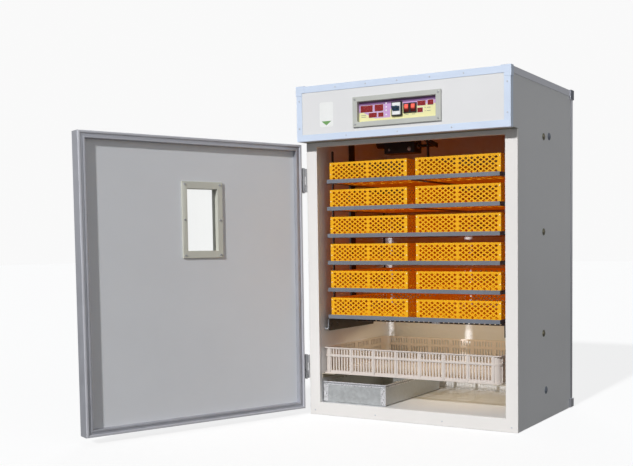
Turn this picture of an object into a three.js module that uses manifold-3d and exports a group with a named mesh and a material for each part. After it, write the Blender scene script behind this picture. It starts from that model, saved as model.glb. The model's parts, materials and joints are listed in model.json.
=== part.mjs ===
// Cabinet egg incubator: a foam-panel cabinet with a header box over the door, a rack of six tilting
// levels with two egg trays each, a hatching basket, a humidity pan and a windowed door.
// Millimetres, +Z up. The origin is on the floor under the middle of the cabinet body, the cabinet's
// front faces -Y, and the model stands with its door open and its rack level.

import * as THREE from "three";
import { mergeVertices } from "three/addons/utils/BufferGeometryUtils.js";
import Module from "manifold-3d";

const wasm = await Module();
wasm.setup();

// ---------------------------------------------------------------- driving dimensions

const gap = 0.3; // clearance between touching pieces
const sheet = 1.2; // folded sheet and trim thickness

// Cabinet body: outer faces of the corner trim, and the plane of the door frame's front.
const cabinet = { width: 930, depth: 640, wall: 50, top: 1348, sill: 52 };
const half = cabinet.width / 2;
const front = -cabinet.depth / 2;
const back = cabinet.depth / 2;
const skin = 1.5; // the panels' outer faces lie this far inside the trim's

const mouth = { half: 415, bottom: cabinet.sill, top: 1110, frame: 14 };
const header = { bottom: 1128, overhang: 66, panel: 24 };
header.front = front - header.overhang;
const trim = { leg: 26, cap: 38, proud: 2.5, flare: 5, foot: 2 };

// Control panel in the header.
const bezel = { x: -4, z: 1227, width: 386, height: 118, thick: 6, window: [342, 78], depth: 10 };
const breaker = { x: -4.5, z: 1228, width: 36, height: 46, thick: 11, barrel: 9, lever: 19 };
const rocker = { xs: [37, 65.5], z: 1228, width: 21, height: 30, thick: 7, tilt: 8 };

// Door, in its own frame: origin on the hinge axis, +X along the closed door, +Y into the cabinet.
const door = { open: 112.6, left: 11, width: 930, bottom: 26, top: 1122, outer: -53, face: 3 };
door.right = door.left + door.width;
const hinge = { x: -half - 11, y: front - 9, height: 97, bottoms: [153, 927], radius: 7, pin: 3 };
const rim = { width: 27, bead: 9, beadProud: 2.5, recess: 20, seal: [1, 10], sealProud: 5.5 };
const pane = { x: 458, z: 810, opening: [128, 238], frame: [171, 293], flange: 7, glass: 4 };

// Tilting rack: level frames turn about the side posts, and upright bars keep them parallel.
const rack = { levels: 6, top: 969.5, pitch: 111.6, y: -38 };
const level = { halfWidth: 384, halfDepth: 257, bar: 16, thick: 2.5, strut: 34 };
const tray = { width: 362, depth: 484, height: 83, inner: 19, wall: 3, floor: 14, y: -276 - rack.y };
const link = { x: 386.5, width: 11, thick: 5, front: -202, rear: 230, top: 1098, tail: 12 };
const post = { inner: 408, width: 40, y: -50, top: 1180 };
const base = { top: 400, bottom: 350, inner: 392.5, thick: 6, bar: 9 };
base.z = 380; // middle height of the slotted cross bar

// Turning drive at the ceiling.
// The lever's pin and the top level's lug sit at the same offset from their own axes.
const drive = { z: 1120, arm: 100, rise: 14, box: [-236, -92], height: 88, depth: 66, shaft: 6 };
drive.reach = Math.hypot(drive.arm, drive.rise);

// Hatching basket, its ledge and the humidity pan.
const basket = { x: -15, halfWidth: 399, front: -295, depth: 522, top: 283, bottom: 173 };
Object.assign(basket, { taper: 2, wall: 3, rim: 4, flange: 5, corner: 24 });
const ledge = { top: 172.6, width: 60, rear: 18, drop: 20 };
const pan = { left: -412, width: 300, front: -300, depth: 498, height: 88, wall: 1.2 };
Object.assign(pan, { hem: 5, lip: 4, inset: 2 });
const float = { x: -215, y: 96, z: 112, arm: 92, ball: 44, droop: 12 };

// Air circulation under the ceiling.
const fan = { x: 150, y: 60, z: 1218, size: 200, depth: 46, bore: 180, hub: 26, blades: 5 };
const heatRing = { x: -110, y: 140, drop: 85, radius: 70, tube: 5 };

// ---------------------------------------------------------------- solids

// A closed geometry as a manifold solid.
function solidOf(geometry) {
  const bare = geometry.clone();
  bare.deleteAttribute("normal");
  bare.deleteAttribute("uv");
  const merged = mergeVertices(bare, 1e-4);
  return new wasm.Manifold(
    new wasm.Mesh({
      numProp: 3,
      vertProperties: new Float32Array(merged.attributes.position.array),
      triVerts: new Uint32Array(merged.index.array),
    })
  );
}

// A manifold solid as a geometry, ready for a mesh.
function geometryOf(solid) {
  const mesh = solid.getMesh();
  const geometry = new THREE.BufferGeometry();
  geometry.setAttribute("position", new THREE.BufferAttribute(mesh.vertProperties, 3));
  geometry.setIndex(new THREE.BufferAttribute(mesh.triVerts, 1));
  geometry.computeVertexNormals();
  return geometry;
}

// A block between two limits on each axis.
function block([x0, x1], [y0, y1], [z0, z1]) {
  const box = new THREE.BoxGeometry(x1 - x0, y1 - y0, z1 - z0);
  box.translate((x0 + x1) / 2, (y0 + y1) / 2, (z0 + z1) / 2);
  return solidOf(box);
}

// A cylinder along an axis, from one coordinate on that axis to another.
function rod(axis, centre, radius, from, to, sides = 16) {
  const cylinder = new THREE.CylinderGeometry(radius, radius, to - from, sides);
  const turns = { x: ["rotateZ", -Math.PI / 2], y: ["rotateX", 0], z: ["rotateX", Math.PI / 2] };
  const [turn, angle] = turns[axis];
  cylinder[turn](angle);
  const middle = new THREE.Vector3(...centre);
  middle[axis] = (from + to) / 2;
  cylinder.translate(middle.x, middle.y, middle.z);
  return solidOf(cylinder);
}

// An outline of [u, v] points extruded along an axis: u, v are y, z along x, and x, y along z.
function extruded(axis, outline, from, to) {
  const shape = new THREE.Shape(outline.map(([u, v]) => new THREE.Vector2(u, v)));
  const geometry = new THREE.ExtrudeGeometry(shape, { depth: to - from, bevelEnabled: false });
  if (axis === "x") {
    geometry.applyMatrix4(new THREE.Matrix4().set(0, 0, 1, 0, 1, 0, 0, 0, 0, 1, 0, 0, 0, 0, 0, 1));
    geometry.translate(from, 0, 0);
  } else {
    geometry.translate(0, 0, from);
  }
  return geometry;
}

const prism = (axis, outline, from, to) => solidOf(extruded(axis, outline, from, to));

const join = (first, ...others) => others.reduce((sum, other) => sum.add(other), first);
const cut = (first, ...others) => others.reduce((rest, other) => rest.subtract(other), first);
const mirrored = (limits, side) => limits.map((v) => v * side).sort((a, b) => a - b);

// A block about a centre, by its whole sizes.
const around = (centre, size) => [centre - size / 2, centre + size / 2];

// ---------------------------------------------------------------- materials

function finish(colour, roughness, metalness = 0, more = {}) {
  return new THREE.MeshStandardMaterial({ color: colour, roughness, metalness, ...more });
}

const looks = {
  panel: finish(0xe4e3e4, 0.45),
  frame: finish(0xebe7e4, 0.4),
  soffit: finish(0x8d8b80, 0.5),
  aluminium: finish(0xb9bac2, 0.35, 0.9),
  film: finish(0xc6d8f0, 0.35, 0.2),
  doorSkin: finish(0xe4e4e4, 0.45),
  cream: finish(0xc6c6ba, 0.5),
  glass: finish(0xf2f6f6, 0.05, 0, { transparent: true, opacity: 0.2 }),
  faceplate: finish(0xc9a9cf, 0.5),
  black: finish(0x1b1a1d, 0.5),
  white: finish(0xeef0f0, 0.4),
  blue: finish(0x2a4a78, 0.4),
  red: finish(0xe23a32, 0.3),
  darkSteel: finish(0x3c3f44, 0.55, 0.4),
  greyPaint: finish(0x777c86, 0.45, 0.1),
  tray: finish(0xffb015, 0.4),
  basket: finish(0xe6d6cf, 0.4),
  galvanised: finish(0xc2c8ca, 0.4, 0.9),
  steel: finish(0xb6b8bb, 0.35, 0.9),
  seal: finish(0xcfccd6, 0.7),
  brass: finish(0xc8a24a, 0.35, 0.9),
};

const incubator = new THREE.Group();

// Adds one named sub-part to a group.
function place(name, solid, look, group = incubator) {
  const mesh = new THREE.Mesh(geometryOf(solid), looks[look]);
  mesh.name = name;
  group.add(mesh);
  return mesh;
}

// ---------------------------------------------------------------- cabinet

// Left and right sandwich panels: one piece each, stepping forward beside the header box.
function sidePanel(side) {
  const bodyFront = front + mouth.frame + gap;
  const outline = [
    [bodyFront, 0],
    [back - skin, 0],
    [back - skin, cabinet.top - skin],
    [header.front + header.panel + 2 * gap, cabinet.top - skin],
    [header.front + header.panel + 2 * gap, header.bottom + 2],
    [bodyFront, header.bottom + 2],
  ];
  const [from, to] = mirrored([half - cabinet.wall, half - skin], side);
  return prism("x", outline, from, to);
}

// Between the side panels: floor, back wall and ceiling.
const inside = half - cabinet.wall - gap;
const backInner = back - cabinet.wall;
const ceiling = cabinet.top - cabinet.wall;

function basePanel() {
  return block([-inside, inside], [front + mouth.frame + gap, backInner - gap], [0, cabinet.sill]);
}

function rearPanel() {
  return block([-inside, inside], [backInner, back - skin], [0, ceiling - gap]);
}

function roofPanel() {
  const yFront = header.front + header.panel + 2 * gap;
  return block([-inside, inside], [yFront, back - skin], [ceiling, cabinet.top - skin]);
}

// The white folded frame that the door closes against.
function frontFrame() {
  const ys = [front, front + mouth.frame];
  const whole = block([-half, half], ys, [0, header.bottom - gap]);
  const open = block([-mouth.half, mouth.half], [ys[0] - 1, ys[1] + 1], [mouth.bottom, mouth.top]);
  return cut(whole, open);
}

function headerPanel() {
  const ys = [header.front + skin + gap, header.front + header.panel];
  const zs = [header.bottom + 2, cabinet.top - skin - gap];
  const plate = block([-half + skin + gap, half - skin - gap], ys, zs);
  const hole = bezel.window.map((size) => size + 8);
  const window = [around(bezel.x, hole[0]), [ys[0] - 1, ys[1] + 1], around(bezel.z, hole[1])];
  return cut(plate, block(...window));
}

// The dark sheet that closes the header box from below, ahead of the door frame.
function headerSoffit() {
  const ys = [header.front + header.panel + 2 * gap, front + mouth.frame - gap];
  return block([-half + skin, half - skin], ys, [header.bottom, header.bottom + skin]);
}

// The block of a cap over one corner of the cabinet, standing proud of the trim.
function cornerCap(side, [y0, y1], [z0, z1], proud) {
  const reach = half + proud;
  return block(mirrored([half - trim.cap, reach], side), [y0, y1], [z0, z1]);
}

// Angle trim round the header's front face, with its two top corner caps.
function headerTrim() {
  const ys = [header.front, header.front + header.panel];
  const zs = [header.bottom, cabinet.top];
  const caps = [-1, 1].map((side) => {
    const zCap = [cabinet.top - trim.cap, cabinet.top + trim.proud];
    return cornerCap(side, [header.front - 1, ys[1]], zCap, trim.proud);
  });
  const whole = join(block([-half, half], ys, zs), ...caps);
  const core = block(
    [-half + sheet, half - sheet],
    [ys[0] + sheet, ys[1] + 1],
    [zs[0] + sheet, zs[1] - sheet]
  );
  const face = block(
    [-half + trim.leg, half - trim.leg],
    [ys[0] - 2, ys[1] + 1],
    [zs[0] + trim.leg, zs[1] - trim.leg]
  );
  return cut(whole, core, face);
}

// Angle trim along the roof's sides and back and down the two back corners, with corner caps. It
// stops just above the floor, which the panels stand on.
function edgeTrim() {
  const yFront = header.front + header.panel + gap;
  const whole = block([-half, half], [yFront, back], [trim.foot, cabinet.top]);
  const upperZ = [cabinet.top - trim.cap, cabinet.top + trim.proud];
  const corners = [-1, 1].flatMap((side) => [
    cornerCap(side, [back - trim.cap, back + trim.proud], upperZ, trim.proud),
    cornerCap(side, [back - trim.cap, back + trim.flare], [trim.foot, trim.cap], trim.flare),
  ]);
  const core = block(
    [-half + sheet, half - sheet],
    [yFront - 1, back - sheet],
    [-1, cabinet.top - sheet]
  );
  const open = half - trim.leg;
  const wide = [-half - 9, half + 9];
  const low = cabinet.top - trim.leg;
  const sides = block(wide, [yFront - 1, back - trim.cap], [-1, low]);
  const flank = block(wide, [yFront - 1, back - trim.leg], [trim.cap, cabinet.top - trim.cap]);
  const roof = block([-open, open], [yFront - 1, back - trim.leg], [0, cabinet.top + 9]);
  const rear = block([-open, open], [yFront - 1, back + 9], [-1, low]);
  return cut(join(whole, ...corners), core, sides, flank, roof, rear);
}

function buildCabinet() {
  place("base_panel", basePanel(), "panel");
  place("side_panel_left", sidePanel(-1), "panel");
  place("side_panel_right", sidePanel(1), "panel");
  place("rear_panel", rearPanel(), "panel");
  place("roof_panel", roofPanel(), "panel");
  place("front_frame", frontFrame(), "frame");
  place("header_panel", headerPanel(), "panel");
  place("header_soffit", headerSoffit(), "soffit");
  place("header_trim", headerTrim(), "film");
  place("edge_trim", edgeTrim(), "aluminium");
}

// ---------------------------------------------------------------- controls

const bezelBack = header.front + skin;

// Flange on the header's face with a sleeve that reaches back to the faceplate.
function controlBezel() {
  const yFlange = [header.front - bezel.thick, header.front - gap];
  const ySleeve = [header.front - bezel.thick, bezelBack + bezel.depth - gap];
  const [w, h] = bezel.window;
  const flange = block(around(bezel.x, bezel.width), yFlange, around(bezel.z, bezel.height));
  const sleeve = block(around(bezel.x, w + 7), ySleeve, around(bezel.z, h + 7));
  const open = [around(bezel.x, w), [yFlange[0] - 1, ySleeve[1] + 1], around(bezel.z, h)];
  return cut(join(flange, sleeve), block(...open));
}

const plateFront = bezelBack + bezel.depth;
const plateBack = plateFront + 2;

// Printed plate with a hole for each rocker.
function faceplate() {
  const [w, h] = bezel.window;
  const plate = block(around(bezel.x, w + 6), [plateFront, plateBack], around(bezel.z, h + 6));
  const deep = [plateFront - 1, plateBack + 1];
  const holes = rocker.xs.map((x) =>
    block(around(x, rocker.width + 1), deep, around(rocker.z, rocker.height + 1))
  );
  return cut(plate, ...holes);
}

// Electronics enclosure behind the header panel.
function controllerBox() {
  const [w, h] = bezel.window;
  const yFront = header.front + skin + header.panel + 5;
  return block(around(bezel.x, w + 20), [yFront, yFront + 55], around(bezel.z, h + 16));
}

function breakerBody() {
  const ys = [plateFront - gap - breaker.thick, plateFront - gap];
  const body = block(around(breaker.x, breaker.width), ys, around(breaker.z, breaker.height));
  const [from, to] = around(breaker.x, 29);
  const slot = rod("x", [0, breakerAxis, breaker.z], breaker.barrel + 0.6, from, to, 24);
  return cut(body, slot);
}

const breakerAxis = plateFront - breaker.thick + 1;

// Two ganged levers on one barrel, drawn about its axis and thrown up.
function breakerToggle() {
  const barrel = rod("x", [0, 0, 0], breaker.barrel, -14, 14, 20);
  const lever = [
    [-3, -3],
    [-breaker.lever, 3],
    [-breaker.lever, 9],
    [-1, 6],
  ];
  const levers = [-13, 2].map((x) => prism("x", lever, x, x + 11));
  return join(barrel, ...levers);
}

// A rocker cap drawn about its pivot: two flats that meet in the middle of its face.
function rockerCap() {
  const rise = Math.tan(THREE.MathUtils.degToRad(rocker.tilt)) * (rocker.height / 2);
  const h = rocker.height / 2 - 0.6;
  const outline = [
    [-rocker.thick + rise, -h],
    [3, -h + 3],
    [3, h - 3],
    [-rocker.thick + rise, h],
    [-rocker.thick - 0.6, 0],
  ];
  return prism("x", outline, -rocker.width / 2, rocker.width / 2);
}

function buildControls() {
  place("control_bezel", controlBezel(), "cream");
  place("control_faceplate", faceplate(), "faceplate");
  place("controller_box", controllerBox(), "black");
  place("breaker_body", breakerBody(), "white");
  const toggle = place("breaker_toggle", breakerToggle(), "blue");
  toggle.position.set(breaker.x, breakerAxis, breaker.z);
  ["power_rocker", "lamp_rocker"].forEach((name, i) => {
    const cap = place(name, rockerCap(), "red");
    cap.position.set(rocker.xs[i], plateFront, rocker.z);
    cap.rotation.x = THREE.MathUtils.degToRad(rocker.tilt);
  });
}

// ---------------------------------------------------------------- rack

// Fixed stand: two flat posts on the walls with pivot pins, side plates on spacers, and the slotted
// bar across the bottom.
function rackStand() {
  const wallFace = inside - 0.2;
  const parts = [];
  for (const side of [-1, 1]) {
    const yPost = around(post.y, post.width);
    parts.push(block(mirrored([post.inner, wallFace], side), yPost, [base.bottom, post.top]));
    const xPlate = mirrored([base.inner, base.inner + base.thick], side);
    parts.push(block(xPlate, [front + 45, 92], [base.bottom, base.top]));
    const xSpacer = mirrored([base.inner + 1, post.inner + 1], side);
    parts.push(block(xSpacer, yPost, [base.bottom, base.top]));
    for (let i = 0; i < rack.levels; i++) {
      const [from, to] = mirrored([level.halfWidth - level.thick + gap, post.inner + 2], side);
      parts.push(rod("x", [0, rack.y, rack.top - i * rack.pitch], 5, from, to, 12));
    }
  }
  const span = base.inner + 2;
  parts.push(block([-span, span], around(post.y, base.bar * 3), around(base.z, base.bar)));
  return join(...parts);
}

// One level: an angle-iron frame about its pivot, a middle strut, and pins for the link bars.
function levelFrame(index) {
  const w = level.halfWidth;
  const d = level.halfDepth;
  const h = level.bar / 2;
  const t = level.thick;
  const ring = cut(
    block([-w, w], [-d, d], [-h, h]),
    block([-w + t, w - t], [-d + t, d - t], [-h + t, h + 1]),
    block([-w + level.bar, w - level.bar], [-d + level.bar, d - level.bar], [-h - 1, h])
  );
  const strut = block(around(0, level.strut), [-d + 1, d - 1], [-h, -h + t]);
  const parts = [ring, strut];
  if (index === 0) {
    parts.push(block([-3, 3], around(-drive.arm, 26), [-h, drive.rise + 7]));
    parts.push(rod("x", [0, -drive.arm, drive.rise], 4, -3, 12, 12));
  }
  const bores = [];
  for (const side of [-1, 1]) {
    const [from, to] = mirrored([w - level.bar - 2, w + 1], side);
    bores.push(rod("x", [0, 0, 0], 5.4, from, to, 12));
    for (const y of [link.front, link.rear]) {
      const [a, b] = mirrored([w - t + gap, link.x + link.thick - 1], side);
      parts.push(rod("x", [0, y, 0], 4, a, b, 12));
    }
  }
  return cut(join(...parts), ...bores);
}

// Open-topped tray, drawn from the middle of its floor's underside. The floor is as thick as the
// lattice of egg cells that stands on it.
function eggTray() {
  const { width, depth, height, wall, floor } = tray;
  const outer = block(around(0, width), [0, depth], [0, height]);
  const hollow = block(around(0, width - 2 * wall), [wall, depth - wall], [floor, height + 1]);
  return cut(outer, hollow);
}

// Upright bar hung on one end of every level, drawn from the top level's pin.
function linkBar() {
  const below = (rack.levels - 1) * rack.pitch + link.tail;
  const above = link.top - rack.top;
  const bar = block([0, link.thick], around(0, link.width), [-below, above]);
  const holes = [];
  for (let i = 0; i < rack.levels; i++) {
    holes.push(rod("x", [0, 0, -i * rack.pitch], 4.35, -1, link.thick + 1, 12));
  }
  return cut(bar, ...holes);
}

function buildRack() {
  place("rack_stand", rackStand(), "darkSteel");
  for (let i = 0; i < rack.levels; i++) {
    const group = new THREE.Group();
    group.position.set(0, rack.y, rack.top - i * rack.pitch);
    incubator.add(group);
    place(`level_frame_${i + 1}`, levelFrame(i), "greyPaint", group);
    for (const [side, name] of [[-1, "left"], [1, "right"]]) {
      const mesh = place(`egg_tray_${i + 1}_${name}`, eggTray(), "tray", group);
      const floor = -level.bar / 2 + level.thick + gap;
      mesh.position.set(side * (tray.inner + tray.width / 2), tray.y, floor);
    }
  }
  for (const [side, sideName] of [[-1, "left"], [1, "right"]]) {
    for (const [y, endName] of [[link.front, "front"], [link.rear, "rear"]]) {
      const mesh = place(`link_bar_${endName}_${sideName}`, linkBar(), "darkSteel");
      const x = side > 0 ? link.x : -link.x - link.thick;
      mesh.position.set(x, rack.y + y, rack.top);
    }
  }
}

// ---------------------------------------------------------------- turning drive

// Gearmotor on a hanger plate, with its output shaft along X.
function gearmotor() {
  const [x0, x1] = drive.box;
  const low = drive.z - 28;
  const body = block([x0, x1], around(rack.y, drive.depth), [low, low + drive.height]);
  const can = rod("x", [0, rack.y, drive.z + 22], 24, x0 - 46, x0 + 1, 20);
  const hanger = block([x0 + 20, x1 - 20], around(rack.y, 40), [drive.z + 50, ceiling - gap]);
  const shaft = rod("x", [0, rack.y, drive.z], drive.shaft, x1 - 1, -8, 16);
  return join(body, can, hanger, shaft);
}

// Lever on the shaft's end, drawn about the shaft axis, pointing to the front.
function crankLever() {
  const arm = block([-7.7, -2], [-drive.reach - 9, 10], [-9, 9]);
  const pin = rod("x", [0, -drive.reach, 0], 4, -3, 12, 12);
  return join(arm, pin);
}

// Connecting rod from the lever's pin down to the top level's lug, drawn about its upper pin.
function connectingRod() {
  const length = drive.z - rack.top;
  const bar = block([4, 9], [-7, 7], [-length - 8, 8]);
  const holes = [0, -length].map((z) => rod("x", [0, 0, z], 4.4, 3, 10, 12));
  return cut(bar, ...holes);
}

function buildDrive() {
  place("turning_gearmotor", gearmotor(), "black");
  const lever = place("crank_lever", crankLever(), "steel");
  lever.position.set(0, rack.y, drive.z);
  lever.rotation.x = -Math.asin(drive.rise / drive.reach);
  const conrod = place("connecting_rod", connectingRod(), "steel");
  conrod.position.set(0, rack.y - drive.arm, drive.z + drive.rise);
}

// ---------------------------------------------------------------- basket and pan

// A rectangle's corner points with rounded corners, for a prism along Z.
function roundedOutline(cx, y0, halfWidth, depth, radius) {
  const points = [];
  const centres = [[1, 1, 0], [-1, 1, 90], [-1, -1, 180], [1, -1, 270]];
  for (const [sx, sy, start] of centres) {
    for (let step = 0; step <= 4; step++) {
      const angle = THREE.MathUtils.degToRad(start + step * 22.5);
      const x = cx + sx * (halfWidth - radius) + radius * Math.cos(angle);
      const y = y0 + depth / 2 + sy * (depth / 2 - radius) + radius * Math.sin(angle);
      points.push([x, y]);
    }
  }
  return points;
}

// A rounded block inside the basket's flanges, a margin in from them, narrowing to the floor.
function taperedBlock(inset, low, high) {
  const { x, halfWidth, front: y0, depth, top, bottom, taper, rim: lip, corner } = basket;
  const margin = lip + inset;
  const outline = roundedOutline(x, y0 + margin, halfWidth - margin, depth - 2 * margin, corner);
  const geometry = extruded("z", outline, low, high);
  const points = geometry.attributes.position;
  for (let i = 0; i < points.count; i++) {
    const sink = ((top - points.getZ(i)) / (top - bottom)) * taper;
    points.setX(i, points.getX(i) - Math.sign(points.getX(i) - x) * sink);
    points.setY(i, points.getY(i) - Math.sign(points.getY(i) - y0 - depth / 2) * sink);
  }
  return solidOf(geometry);
}

// Open basket with a flange round its top and its foot; its lattice is finer than this solid.
function hatchingBasket() {
  const { x, halfWidth, front: y0, depth, top, bottom, wall, flange, corner } = basket;
  const outline = roundedOutline(x, y0, halfWidth, depth, corner);
  const rim = prism("z", outline, top - flange, top);
  const foot = prism("z", outline, bottom, bottom + flange);
  const shell = taperedBlock(0, bottom, top);
  return cut(join(shell, rim, foot), taperedBlock(wall, bottom + wall, top + 1));
}

// Angle ledge round three walls that the basket slides on.
function basketLedge() {
  const x = inside - 0.2;
  const ys = [front + mouth.frame + 4, backInner - gap];
  const whole = block([-x, x], ys, [ledge.top - ledge.drop, ledge.top]);
  const arms = [-x + ledge.width, x - ledge.width];
  const well = block(arms, [ys[0] - 1, ys[1] - ledge.rear], [0, ledge.top + 1]);
  const under = block([-x + 2, x - 2], [ys[0] - 1, ys[1] - 2], [0, ledge.top - 2]);
  return cut(whole, well, under);
}

// Galvanised pan with a hemmed top edge and a lug for the float arm.
function waterPan() {
  const xs = [pan.left, pan.left + pan.width];
  const ys = [pan.front, pan.front + pan.depth];
  const zs = [cabinet.sill + gap, cabinet.sill + gap + pan.height];
  const shrink = (limits, by) => [limits[0] + by, limits[1] - by];
  const hem = cut(
    block(xs, ys, [zs[1] - pan.hem, zs[1]]),
    block(shrink(xs, pan.lip), shrink(ys, pan.lip), [zs[1] - pan.hem - 1, zs[1] + 1])
  );
  const well = pan.inset + pan.wall;
  const tub = cut(
    block(shrink(xs, pan.inset), shrink(ys, pan.inset), zs),
    block(shrink(xs, well), shrink(ys, well), [zs[0] + pan.wall, zs[1] + 1])
  );
  const lug = cut(
    block(around(float.x, 18), [float.y - 6, ys[1] - 2.5], around(float.z, 12)),
    block(around(float.x, 8), [float.y - 7, float.y + 8], around(float.z, 13))
  );
  const pin = rod("x", [0, float.y, float.z], 2, float.x - 5, float.x + 5, 10);
  return join(hem, tub, lug, pin);
}

// Float: a ball on an arm, drawn about its pin, reaching to the front. It hangs on its low stop.
function floatArm() {
  const eye = rod("x", [0, 0, 0], 5, -3.6, 3.6, 14);
  const arm = block([-2, 2], [-float.arm, 0], [-2, 2]);
  const ball = new THREE.SphereGeometry(float.ball / 2, 16, 12);
  ball.translate(0, -float.arm - float.ball / 2 + 3, 0);
  return cut(join(eye, arm, solidOf(ball)), rod("x", [0, 0, 0], 2.4, -5, 5, 10));
}

function buildLowerGear() {
  place("basket_ledge", basketLedge(), "frame");
  place("hatching_basket", hatchingBasket(), "basket");
  place("water_pan", waterPan(), "galvanised");
  const arm = place("float_arm", floatArm(), "brass");
  arm.position.set(float.x, float.y, float.z);
  arm.rotation.x = THREE.MathUtils.degToRad(float.droop);
}

// ---------------------------------------------------------------- air

// Square fan frame hung from the ceiling by four legs, with the motor on a cross bar.
function fanFrame() {
  const { size, depth, bore, z } = fan;
  const plate = cut(
    block(around(0, size), around(0, size), [0, depth]),
    rod("z", [0, 0, 0], bore / 2, -1, depth + 1, 40)
  );
  const corner = [size / 2 - 14, size / 2];
  const legs = [-1, 1].flatMap((sx) =>
    [-1, 1].map((sy) =>
      block(mirrored(corner, sx), mirrored(corner, sy), [depth - 1, ceiling - gap - z])
    )
  );
  const spider = block([-size / 2 + 2, size / 2 - 2], [-7, 7], [depth - 5, depth]);
  const motor = rod("z", [0, 0, 0], fan.hub, depth - 26, depth - 1, 24);
  const shaft = rod("z", [0, 0, 0], 4, 4, depth - 2, 12);
  return join(plate, ...legs, spider, motor, shaft);
}

// Hub with pitched blades, drawn about its shaft axis.
function fanImpeller() {
  const hub = rod("z", [0, 0, 0], fan.hub - 4, -8, 8, 24);
  const blades = [];
  for (let i = 0; i < fan.blades; i++) {
    const blade = new THREE.BoxGeometry(fan.bore / 2 - fan.hub, 34, 2);
    blade.rotateX(THREE.MathUtils.degToRad(24));
    blade.translate(fan.bore / 4 + fan.hub / 2 - 8, 0, 0);
    blade.rotateZ((i * 2 * Math.PI) / fan.blades);
    blades.push(solidOf(blade));
  }
  return cut(join(hub, ...blades), rod("z", [0, 0, 0], 4.4, -10, 10, 12));
}

// Tubular heater: an open ring of tube under the ceiling, held by one bracket.
function heater() {
  const section = new THREE.Shape().absarc(0, 0, heatRing.tube, 0, 2 * Math.PI);
  const arc = new THREE.EllipseCurve(0, 0, heatRing.radius, heatRing.radius, -2.6, 2.6);
  const points = arc.getPoints(20).map((p) => new THREE.Vector3(p.x, p.y, 0));
  const path = new THREE.CatmullRomCurve3(points);
  const loop = new THREE.ExtrudeGeometry(section, { extrudePath: path, steps: 26, curveSegments: 4 });
  const bracket = block([heatRing.radius - 10, heatRing.radius - 2], [-8, 8], [-6, heatRing.drop - gap]);
  return join(solidOf(loop), bracket);
}

function buildAir() {
  const frame = place("fan_frame", fanFrame(), "black");
  frame.position.set(fan.x, fan.y, fan.z);
  const impeller = place("fan_impeller", fanImpeller(), "black");
  impeller.position.set(fan.x, fan.y, fan.z + 10);
  const ring = place("heater_element", heater(), "steel");
  ring.position.set(heatRing.x, heatRing.y, ceiling - heatRing.drop);
}

// ---------------------------------------------------------------- door

// A ring in the door's plane, from one inset to another, between two depths.
function doorRing([outerInset, innerInset], ys) {
  const limits = (inset) => [
    [door.left + inset, door.right - inset],
    [door.bottom + inset, door.top - inset],
  ];
  const [xo, zo] = limits(outerInset);
  const [xi, zi] = limits(innerInset);
  return cut(block(xo, ys, zo), block(xi, [ys[0] - 1, ys[1] + 1], zi));
}

function doorRim() {
  const profile = doorRing([0, rim.width], [door.outer, door.face]);
  const bead = doorRing([rim.width - rim.bead, rim.width], [door.face - 1, door.face + rim.beadProud]);
  return join(profile, bead);
}

const panelFace = door.face + rim.beadProud - rim.recess;

function doorPanel() {
  const inset = rim.width + gap;
  const xs = [door.left + inset, door.right - inset];
  const zs = [door.bottom + inset, door.top - inset];
  const window = pane.opening.map((size) => size + 10);
  const hole = [around(pane.x, window[0]), [door.outer - 9, panelFace + 9], around(pane.z, window[1])];
  return cut(block(xs, [door.outer + 1, panelFace], zs), block(...hole));
}

const panelOuter = door.outer + 1;
const glassY = (panelOuter + panelFace) / 2;

// Window surround: a flange on the door's inner face and a sleeve through it, grooved for the pane.
function windowFrame() {
  const [w, h] = pane.opening;
  const flangeY = [panelFace + gap, panelFace + pane.flange];
  const flange = block(around(pane.x, pane.frame[0]), flangeY, around(pane.z, pane.frame[1]));
  const sleeve = block(around(pane.x, w + 9), [panelOuter, panelFace + 1], around(pane.z, h + 9));
  const open = [around(pane.x, w), [panelOuter - 9, panelFace + 20], around(pane.z, h)];
  const grooveY = around(glassY, pane.glass + 2 * gap);
  const groove = block(around(pane.x, w + 6), grooveY, around(pane.z, h + 6));
  return cut(join(flange, sleeve), block(...open), groove);
}

function windowGlass() {
  const [w, h] = pane.opening;
  return block(around(pane.x, w + 5.4), around(glassY, pane.glass), around(pane.z, h + 5.4));
}

// Pull handle on the outer face: two feet and a grip.
function doorHandle() {
  const x = door.right - 70;
  const ys = [door.outer - 38, door.outer + 1 - gap];
  const z = around(560, 200);
  const grip = block(around(x, 24), [ys[0], ys[0] + 12], z);
  const feet = [z[0], z[1] - 30].map((low) => block(around(x, 24), ys, [low, low + 30]));
  return join(grip, ...feet);
}

// Hinge leaf with its part of the barrel. The door's leaf holds the middle barrel, the cabinet's
// leaf holds the two end barrels and the pin. Drawn about the hinge axis.
function hingeLeaf(onDoor, low) {
  const third = hinge.height / 3;
  const plateX = [door.left - sheet - 1.1, door.left - gap];
  const plateY = onDoor ? [-46, -hinge.pin] : [hinge.pin, 46];
  const arm = onDoor ? [-7, 0] : [0, 7];
  const parts = [block(plateX, plateY, [low, low + hinge.height])];
  const bands = onDoor ? [[third, 2 * third]] : [[0, third], [2 * third, 3 * third]];
  const clear = bands.map(([a, b]) => [low + a + (onDoor ? gap : 0), low + b - (onDoor ? gap : 0)]);
  for (const zs of clear) {
    parts.push(rod("z", [0, 0, 0], hinge.radius, ...zs, 20));
    parts.push(block([0, plateX[1]], arm, zs));
  }
  if (!onDoor) {
    return join(...parts, rod("z", [0, 0, 0], hinge.pin, low, low + hinge.height, 12));
  }
  const bore = rod("z", [0, 0, 0], hinge.pin + gap, low - 1, low + hinge.height + 1, 12);
  const other = [low - 1, clear[0][0], clear[0][1], low + hinge.height + 1];
  const relief = [[other[0], other[1]], [other[2], other[3]]].map((zs) =>
    block([-hinge.radius - 1, plateX[1] + 1], [-hinge.radius - 1, hinge.radius + 1], zs)
  );
  return cut(join(...parts), bore, ...relief);
}

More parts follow.
